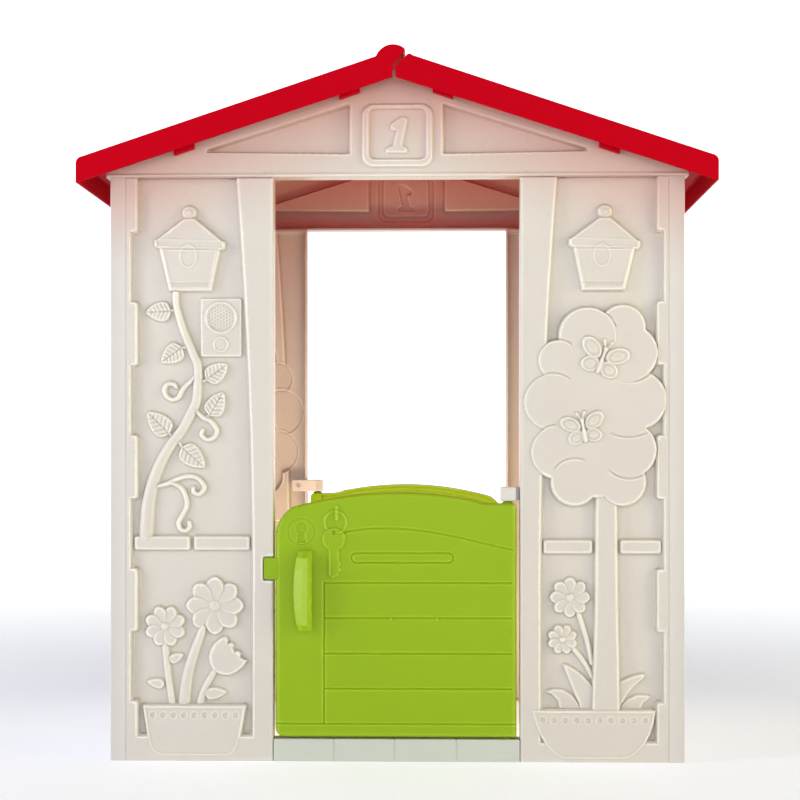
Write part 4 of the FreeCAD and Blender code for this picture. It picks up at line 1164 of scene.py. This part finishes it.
def spun(name, profile, centre, segments=40):
    """A profile of radius and height, spun round an upright line."""
    points, quads = [], []
    for radius, z in profile:
        for k in range(segments):
            angle = 2 * math.pi * k / segments
            points.append((centre[0] + radius * math.cos(angle), centre[1] + radius * math.sin(angle), z))
    for i in range(len(profile) - 1):
        for k in range(segments):
            nxt = (k + 1) % segments
            low, high = i * segments, (i + 1) * segments
            quads.append((low + k, low + nxt, high + nxt, high + k))
    return mesh_of_quads(name, points, quads)


upper_pin = spun("upper_pin", [(0.01, 452), (9.5, 452), (9.5, 457.6), (8, 459.2), (7, 459.4), (7, 477),
                               (6.2, 478.6), (4.6, 479), (0.01, 479)], (HINGE_X, HINGE_Y))
lower_pin = spun("lower_pin", [(0.01, 46), (8.6, 46), (8.6, 42.6), (7, 42.2), (7, 28.6), (6.2, 27.4),
                               (4.6, 27), (0.01, 27)], (HINGE_X, HINGE_Y))
post = box_mesh("post", (186, -411, 47), (208, -381.5, 453), 2)
tab = box_mesh("tab", (-234.4, -415.6, 321.6), (-208, -409.2, 360.4), 1.8, 3, 6)
door_mesh = tidy_mesh(joined("door", [door_mesh, upper_pin, lower_pin, post, tab]))
place_at_both_ends("door", door_mesh, GREEN, DOORS)
print("the whole door has", len(door_mesh.polygons), "faces")

# %% [markdown]
# ### The pull
# The pull is a bowed bar with a broad facet on one side, standing on two feet. It is lofted from bottom
# to top, so that the bow, the facets and the finger gap are each one line of numbers.

# %% The pull
GRIP_LOW, GRIP_HIGH, GRIP_RIGHT, GRIP_DEEP = 231.0, 373.0, -148.5, 30
GRIP_PARTS, SIDES = 48, 6
rings = []
for k in range(GRIP_PARTS + 1):
    t = k / GRIP_PARTS
    z = GRIP_LOW + t * (GRIP_HIGH - GRIP_LOW)
    bow = math.sin(math.pi * t)
    end = min(t, 1 - t) * GRIP_PARTS
    out = GRIP_DEEP * min(1, 0.42 + 0.58 * min(1, end / 4)) * (0.94 + 0.06 * bow)
    gap = 16 * min(1, max(0, (min(z - GRIP_LOW, GRIP_HIGH - z) - 24) / 9))
    left = -172 - 8.6 * bow ** 0.65
    section = [(left, gap), (left, max(out * 0.52, gap + 1.5)), (-164.5, out), (-155.5, out),
               (GRIP_RIGHT, max(out * 0.45, gap + 1.5)), (GRIP_RIGHT, gap)]
    rings.append([Vector((x, -DOOR_OUT - deep, z)) / 1000 for x, deep in section])
work = bmesh.new()
corners = [work.verts.new(point) for ring in rings for point in ring]
for k in range(0, GRIP_PARTS * SIDES, SIDES):
    for i in range(SIDES):
        j = (i + 1) % SIDES
        work.faces.new([corners[k + i], corners[k + j], corners[k + SIDES + j], corners[k + SIDES + i]])
work.faces.new(corners[:SIDES])
work.faces.new(corners[-SIDES:])


def mesh_from(work, name):
    mesh = bpy.data.meshes.new(name)
    work.to_mesh(mesh)
    work.free()
    return mesh


def bevelled(name, mesh, width, segments, angle):
    """The mesh with its sharp edges rounded."""
    obj = bpy.data.objects.new(name, mesh)
    bpy.context.scene.collection.objects.link(obj)
    bevel = obj.modifiers.new("bevel", "BEVEL")
    bevel.width, bevel.segments, bevel.limit_method = width, segments, "ANGLE"
    bevel.angle_limit = math.radians(angle)
    mesh = applied(obj)
    bpy.data.objects.remove(obj)
    return mesh


grip = tidy_mesh(bevelled("grip", mesh_from(work, "grip"), 0.0016, 3, 22), 30)
place_at_both_ends("door_handle", grip, PULL_GREEN_LIT, DOORS)
print("the pull has", len(grip.polygons), "faces")

# %% [markdown]
# ## The threshold
# The threshold is a bar of four blocks that looks like a course of pale bricks. A core a little behind
# their faces closes the joints.

# %% Threshold
JOINTS = (-JAMB, -110.5, -2.8, 106.5, JAMB)
bricks = [box_mesh("core", (-JAMB + 1, -413.8, 0), (JAMB - 1, -376, 39))]
for left, right in zip(JOINTS, JOINTS[1:]):
    bricks.append(box_mesh("brick", (left + 0.5, -415, 0), (right - 0.5, -375, 40), 2.0))
threshold = tidy_mesh(joined("threshold", bricks))
place_at_both_ends("threshold", threshold, GREY)
print("the threshold has", len(bricks) - 1, "blocks")

# %% [markdown]
# ## The hinge bracket
# A rounded pale block holds the door's upper pin, with a neck and a flange that a screw holds to the
# back of the jamb. The bore is cut with an exact boolean, because a pin turns in it.

# %% Hinge bracket
bore = tidy_mesh(spun("bore", [(0.01, 455), (7.3, 455), (7.3, 490), (0.01, 490)], (HINGE_X, HINGE_Y)))
bore_object = bpy.data.objects.new("bore", bore)
block_mesh = tidy_mesh(box_mesh("block", (184, -411, 460.6), (211.6, -384, 486), 3.4, 4))
block_object = bpy.data.objects.new("block", block_mesh)
for item in (bore_object, block_object):
    bpy.context.scene.collection.objects.link(item)
cut = block_object.modifiers.new("bore", "BOOLEAN")
cut.object, cut.operation, cut.solver = bore_object, "DIFFERENCE", "EXACT"
bracket = tidy_mesh(joined("bracket", [
    applied(block_object), box_mesh("neck", (205, -399, 462), (217.6, -370, 484.6), 1.5),
    box_mesh("flange", (196, -374.9, 460.8), (250, -366, 485.8), 2.6)]))
for item in (bore_object, block_object):
    bpy.data.objects.remove(item)
place_at_both_ends("hinge_bracket", bracket, PALE)
print("the bracket has", len(bracket.polygons), "faces")

# %% [markdown]
# ## The roof's outline
# Two slopes meet under a round bead. The left half carries the bead, which reaches over the lip of the
# right half. The outline runs from the foot of the eave board up the slope to the ridge, and the same
# function gives the underside, drawn in by the wall.

# %% Roof outline
ROOF_HALF, ROOF_END, ROOF_APEX, BOARD = 562.5, 450.0, 1251.0, 46.5
SLOPE_PARTS, EAVE_ROUND = 104, 12


def slope(x):
    return ROOF_APEX - EAVE_FALL * abs(x)


def arc(cx, cz, radius, start, end, count):
    turns = [math.radians(start + (end - start) * k / count) for k in range(count + 1)]
    return [(cx + radius * math.cos(turn), cz + radius * math.sin(turn)) for turn in turns]


def roof_profile(side, inset=0.0):
    """From the foot of the eave board up the slope to the ridge."""
    eave = side * (ROOF_HALF - inset)
    turn = arc(side * (ROOF_HALF - EAVE_ROUND), slope(ROOF_HALF - EAVE_ROUND) - 12.5, EAVE_ROUND - inset,
               0 if side > 0 else 180, 71 if side > 0 else 109, 8)
    line = [(eave, slope(553) - BOARD + 1)] + turn
    last = 36 if side < 0 else 29
    first = abs(turn[-1][0])
    for k in range(1, SLOPE_PARTS + 1):
        x = first + (last - first) * k / SLOPE_PARTS
        line.append((side * x, slope(x) - inset * 1.055))
    if side < 0:
        line += arc(-5, 1228, 32 - inset, 158, 50, 14)
        line.append((14 - inset * 0.3, 1250 - inset * 1.1))
    else:
        line += [(25, 1244 - inset), (20.6, 1243.6 - inset)]
        line += [(18.5 - inset * 0.1, 1241.4 - inset), (5, 1227 - inset * 1.3)]
    return line


print("the eave is", round(slope(ROOF_HALF)), "mm above the floor")

# %% [markdown]
# ## The roof's tiles
# A field of tiles in low relief stiffens the top, clear of the edges. Each row of round ends laps over
# the row below it, and every second row is shifted by half a tile.

# %% Tiles
TILE_LONG, TILE_WIDE = 57.0, 75.0


def tiles(x, y):
    run = (np.abs(x) - 46) / TILE_LONG
    row = np.floor(run)
    across = (y / TILE_WIDE + 0.5 * (row % 2)) % 1 - 0.5
    drop = run - row
    scallop = 0.16 * (1 - np.sqrt(np.clip(1 - (across * 1.96) ** 2, 0, 1)))
    lap = np.clip((1 - scallop * 1.6 - drop) / 0.055, 0, 1)
    high = 3.4 * lap * (0.35 + 0.65 * drop) - 1.3 * np.exp(-((np.abs(across) - 0.5) / 0.03) ** 2) * lap
    inside = np.clip(np.minimum.reduce([np.abs(x) - 60, 530 - np.abs(x), 424 - np.abs(y)]) / 9, 0, 1)
    return np.clip(high, 0, 4) * inside


print("tiles are", TILE_WIDE, "mm wide in rows of", TILE_LONG, "mm")

# %% [markdown]
# ## The roof's halves
# Each half is a skin swept from front to rear, with a deep board round three sides. The top and the
# underside are grids between two outlines, and the front and rear boards are closed with one face each
# outside and inside. Snap tabs hang under the boards and reach back to the gables.

# %% Roof halves
ROOF_SHARP = 32


def roof_mesh(side):
    outer = np.array(roof_profile(side))
    inner = np.array(roof_profile(side, WALL))
    n = len(outer)
    ys = np.concatenate([[-ROOF_END], np.linspace(-432, 432, 289), [ROOF_END]])
    px, py = np.meshgrid(outer[:, 0], ys)
    pz = np.tile(outer[:, 1], (len(ys), 1))
    slope_only = (np.arange(n) > 9) & (np.arange(n) < 112)
    bump = tiles(px, py) * slope_only
    points = np.stack([px + side * bump * 0.317, py, pz + bump * 0.948], -1)
    work = bmesh.new()

    def vertex(x, y, z):
        return work.verts.new(Vector((x, y, z)) / 1000)

    top = [vertex(*point) for point in points.reshape(-1, 3)]
    for r in range(len(ys) - 1):
        for c in range(n - 1):
            a = r * n + c
            work.faces.new((top[a], top[a + 1], top[a + n + 1], top[a + n]))
    below = -6.4 if side < 0 else -0.9
    board_low = ROOF_APEX - BOARD - 1.5
    lower_line = [(below, 1225.4 if side < 0 else 1221), (below, board_low)]
    if side < 0:
        lower_line = [(15.2, 1247.7)] + lower_line
    in_ends = []
    under = [vertex(x, -ROOF_END + WALL, z) for x, z in inner]
    under_far = [vertex(x, ROOF_END - WALL, z) for x, z in inner]
    for c in range(n - 1):
        work.faces.new((under[c], under_far[c], under_far[c + 1], under[c + 1]))
    for sign, row, near in ((-1, top[:n], under), (1, top[-n:], under_far)):
        out_low = [vertex(x, sign * ROOF_END, z) for x, z in lower_line]
        in_low = [vertex(x, sign * (ROOF_END - WALL), z) for x, z in lower_line]
        work.faces.new(list(row) + out_low)
        work.faces.new(list(near) + in_low)
        chain_out = [row[-1]] + out_low + [row[0]]
        chain_in = [near[-1]] + in_low + [near[0]]
        for i in range(len(chain_out) - 1):
            work.faces.new((chain_out[i], chain_out[i + 1], chain_in[i + 1], chain_in[i]))
        in_ends.append((near[0], near[-1]))
    for column, near in ((0, 0), (n - 1, 1)):
        ring = [top[r * n + column] for r in range(len(ys))]
        work.faces.new(ring + [in_ends[1][near], in_ends[0][near]])
    return tidy_mesh(mesh_from(work, "roof"), ROOF_SHARP)


def roof_tabs(side):
    blocks = []
    for x in (82, 374):
        for sign in (-1, 1):
            y = sorted((sign * (ROOF_END - 13), sign * 420.4))
            tab = box_mesh("tab", (x - 18, y[0], -3.2), (x + 18, y[1], 5), 1.2)
            for v in tab.vertices:
                v.co.z += (slope(v.co.x * 1000) - BOARD) / 1000
                v.co.x *= side
            blocks.append(tab)
    return blocks


for side, name in ((-1, "roof_left"), (1, "roof_right")):
    half = bevelled(name + "_soft", roof_mesh(side), 0.0017, 2, 50)
    half = tidy_mesh(joined(name, [half, *roof_tabs(side)]), ROOF_SHARP)
    place(name + "_moulding", half, "house", [name], RED)
    print(name, "has", len(half.polygons), "faces")

# %% [markdown]
# ## Screws
# The CAD screws have their true shape, so they stay, and only get their zinc.

# %% Screws
screws = [bpy.data.objects[node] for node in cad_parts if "screw" in node]
for piece in screws:
    for slot in piece.material_slots:
        slot.material = STEEL
print("groups of screws:", len(screws))

# %% [markdown]
# ## Floor and surround
# A white studio: a wide round floor and a ring of wall. The paper gives some light of its own, less
# under the house and more further away, so that the floor runs into the wall without a line and every
# side of the house gets the same soft light.

# %% Floor and surround
SURROUND, SHEETS, WALL_LOW, WALL_HIGH = 14.0, 48, -0.5, 5.5
FLOOR_GLOW, WALL_GLOW, WORLD_GLOW = 1.0, 0.70, 0.09


def sheet_of(name, corners, faces, glow):
    """A white sheet of the studio, with some light of its own."""
    mesh = bpy.data.meshes.new(name)
    mesh.from_pydata(corners, [], faces)
    obj = bpy.data.objects.new(name, mesh)
    bpy.context.scene.collection.objects.link(obj)
    paper = Finish(name + "_paper")
    tone = paper.ramp(paper.noise(260.0), (0.3, (0.86, 0.88, 0.93)), (0.7, (0.89, 0.91, 0.96)))
    far = paper.node("ShaderNodeVectorMath", {"operation": "LENGTH"}, {0: paper.where}, 1)
    lit = paper.blend(paper.between(far, 1.0, 4.5), (0.36, 0.365, 0.39, 1), (0.90, 0.90, 0.91, 1))
    paper.set(Base_Color=tone, Roughness=0.9, Specular_IOR_Level=0.1, Emission_Color=lit,
              Emission_Strength=glow)
    mesh.materials.append(paper.material)


turns = [2 * math.pi * k / SHEETS for k in range(SHEETS)]
edge = [(SURROUND * math.cos(turn), SURROUND * math.sin(turn)) for turn in turns]
sheet_of("studio_floor", [(x, y, 0) for x, y in edge], [range(SHEETS)], FLOOR_GLOW)
sheet_of("studio_wall", [(x, y, z) for z in (WALL_LOW, WALL_HIGH) for x, y in edge],
         [(k, (k + 1) % SHEETS, SHEETS + (k + 1) % SHEETS, SHEETS + k) for k in range(SHEETS)], WALL_GLOW)
world = bpy.data.worlds.new("studio_world")
bpy.context.scene.world = world
world.use_nodes = True
sky = world.node_tree.nodes["Background"].inputs
sky["Color"].default_value, sky["Strength"].default_value = (1, 1, 1, 1), WORLD_GLOW
print("the surround is", 2 * SURROUND, "m across")

# %% [markdown]
# ## Lamps
# A cool upright softbox stands on the left and a warm one on the right, with a weak broad one above the
# camera. Two small lamps inside the cabin stand for daylight that comes through the thin red roof and
# off the floor, which spares the many light bounces that thin red plastic would need.

# %% Lamps
HOUSE_FRONT = (0, -0.4, 0.6)
LAMPS = {  # place, aim, width, height, power, colour
    "left_strip": ((-3.1, -1.75, 1.5), HOUSE_FRONT, 0.9, 2.6, 46, (0.98, 0.985, 1.0)),
    "right_strip": ((3.1, -1.75, 1.3), HOUSE_FRONT, 0.9, 2.6, 42, (1.0, 0.88, 0.42)),
    "front_top": ((0.3, -4.2, 3.6), HOUSE_FRONT, 2.4, 1.2, 20, (1, 1, 1)),
    "roof_glow": ((0, 0, 1.075), (0, 0, 2), 0.36, 0.3, 0.8, (1.0, 0.22, 0.12)),
    "cabin_bounce": ((0, -0.25, 0.12), (0, 0.4, 0.6), 0.5, 0.2, 4.6, (1.0, 0.72, 0.46))}
for name, (stand, aim, width, height, power, colour) in LAMPS.items():
    lamp = bpy.data.lights.new(name, "AREA")
    lamp.shape, lamp.size, lamp.size_y, lamp.energy, lamp.color = "RECTANGLE", width, height, power, colour
    obj = bpy.data.objects.new(name, lamp)
    bpy.context.scene.collection.objects.link(obj)
    obj.location = stand
    obj.rotation_euler = (Vector(aim) - Vector(stand)).to_track_quat("-Z", "Y").to_euler()
bpy.context.scene.view_settings.view_transform = "Standard"
print("lamps:", len(LAMPS))

# %% [markdown]


# %% [markdown]
